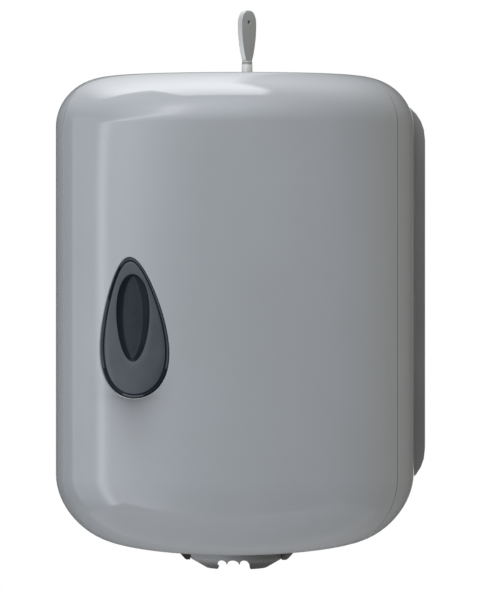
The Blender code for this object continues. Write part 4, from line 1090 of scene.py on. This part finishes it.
def addStage():
    bm = bmesh.new()
    bmesh.ops.create_grid(bm, x_segments=1, y_segments=1, size=studio["reach"])
    for vert in bm.verts:
        vert.co = (vert.co.x, min(vert.co.y, studio["behind"]), studio["floor"])
    mesh = bpy.data.meshes.new("floor")
    bm.to_mesh(mesh)
    bm.free()
    r = Recipe("floorWhite")
    tone = r.mixed(grey(studio["dark"]), grey(studio["light"]), r.noise(3, 2, 0.5))
    seen = r.node("ShaderNodeLightPath", out="Is Camera Ray")
    glow = r.mixed(grey(0), grey(1), seen)
    r.finish(colour=tone, rough=studio["rough"], glow=glow, glowStrength=studio["glow"])
    under = r.node("ShaderNodeNewGeometry", out="Backfacing")  # clear from below, to show the underside
    clear = r.node("ShaderNodeBsdfTransparent")
    solidFloor = Tap(r, r.shader.outputs[0])
    mix = r.node("ShaderNodeMixShader", {}, {0: under, 1: solidFloor, 2: clear})
    r.tree.links.new(mix.socket, r.tree.nodes["Material Output"].inputs["Surface"])
    mesh.materials.append(r.material)
    floor = bpy.data.objects.new("floor", mesh)
    scene.collection.objects.link(floor)


def smooth(r, value, low, high):  # 0 below low, 1 above high
    return r.node("ShaderNodeMapRange", {"interpolation_type": "SMOOTHSTEP"},
                  {"Value": value, "From Min": low, "From Max": high, "To Min": 0.0, "To Max": 1.0})


def within(r, value, limits):  # up from the first to the second limit, down from the third to the fourth
    return smooth(r, value, limits[0], limits[1]) * (1 - smooth(r, value, limits[2], limits[3]))


def bell(r, value, middle, spread):
    off = (value - middle) / spread
    return r.maths("EXPONENT", -(off * off))


def lobe(r, value):
    part = r.maths("MAXIMUM", value)
    return part * part


def lineOf(r, rise, points):  # turn of a slanted box's middle at a rise
    stops = [((high + 90) / 180, turn / 100) for high, turn in points]
    return r.ramp((rise + 90) / 180, stops) * 100


def plainLight(r, x, y, z, rise):
    a = air
    high = r.maths("MAXIMUM", z, a["horizon"][0])
    across, behind, above = x / high, y / high, smooth(r, z, *a["horizon"])
    fall = (behind - a["panelMiddle"]) / a["panelFall"]
    front = (1 - smooth(r, across, *a["panelTurn"])) * a["panelStep"] + a["panelFront"]
    lean = (1 - smooth(r, behind, *a["panelLeanFrom"])) * a["panelLean"]
    panel = within(r, across - lean, a["panelSide"]) / (fall * fall + 1)
    panel = panel * smooth(r, behind - front, -a["panelEdge"], a["panelEdge"])
    ceiling = within(r, across, a["ceilingSide"]) * within(r, behind, a["ceilingDepth"])
    level = bell(r, rise, 90, a["domeSpread"]) * a["dome"]
    for side, name in ((z, "up"), (-z, "below"), (-y, "front"), (y, "back")):
        level = level + lobe(r, side) * a[name]
    return level + panel * above * a["panel"] + ceiling * above * a["ceiling"]


def coolLight(r, turn, rise):
    a = air
    level = within(r, turn, a["leftTurn"]) * within(r, rise, a["leftRise"]) * a["left"]
    for box in ("streak", "wide"):
        across = bell(r, turn - lineOf(r, rise, a[box + "Line"]), 0, a[box + "Spread"])
        level = level + across * within(r, rise, a[box + "Rise"]) * a[box]
    fill = bell(r, turn, a["fillTurn"], a["fillSpread"])
    return level + fill * within(r, rise, a["fillRise"]) * a["fill"]


def addWorld():
    world = bpy.data.worlds.new("air")
    scene.world = world
    world.use_nodes = True
    world.node_tree.nodes.clear()
    r = Recipe(tree=world.node_tree)
    towards = r.node("ShaderNodeTexCoord", out="Generated")
    x, y, z = [r.node("ShaderNodeSeparateXYZ", {}, {0: towards}, out=axis) for axis in "XYZ"]
    turn = r.maths("ARCTAN2", -x, -y) * degrees(1)
    rise = r.maths("ARCSINE", z) * degrees(1)
    levels = ((grey(1), plainLight(r, x, y, z, rise)), (air["cool"], coolLight(r, turn, rise)),
              (air["warm"], lobe(r, x) * air["right"]))
    lights = [r.node("ShaderNodeBackground", {}, {"Color": colour, "Strength": level})
              for colour, level in levels]
    lit = r.node("ShaderNodeAddShader", {}, {0: lights[0], 1: lights[1]})
    lit = r.node("ShaderNodeAddShader", {}, {0: lit, 1: lights[2]})
    seen, passed, glossy = [r.node("ShaderNodeLightPath", out=name)
                            for name in ("Is Camera Ray", "Is Transmission Ray", "Is Glossy Ray")]
    backdrop = smooth(r, y, *air["backdrop"])  # what the camera sees lies straight behind the object
    white = r.node("ShaderNodeBackground", {}, {"Color": grey(1), "Strength": 1.0})
    share = r.maths("MINIMUM", seen + passed + glossy * backdrop, 1)
    mix = r.node("ShaderNodeMixShader", {}, {0: share, 1: lit, 2: white})
    r.node("ShaderNodeOutputWorld", {}, {0: mix})


scene.view_settings.view_transform = "Standard"
addStage()
addWorld()
print("floor and light set")
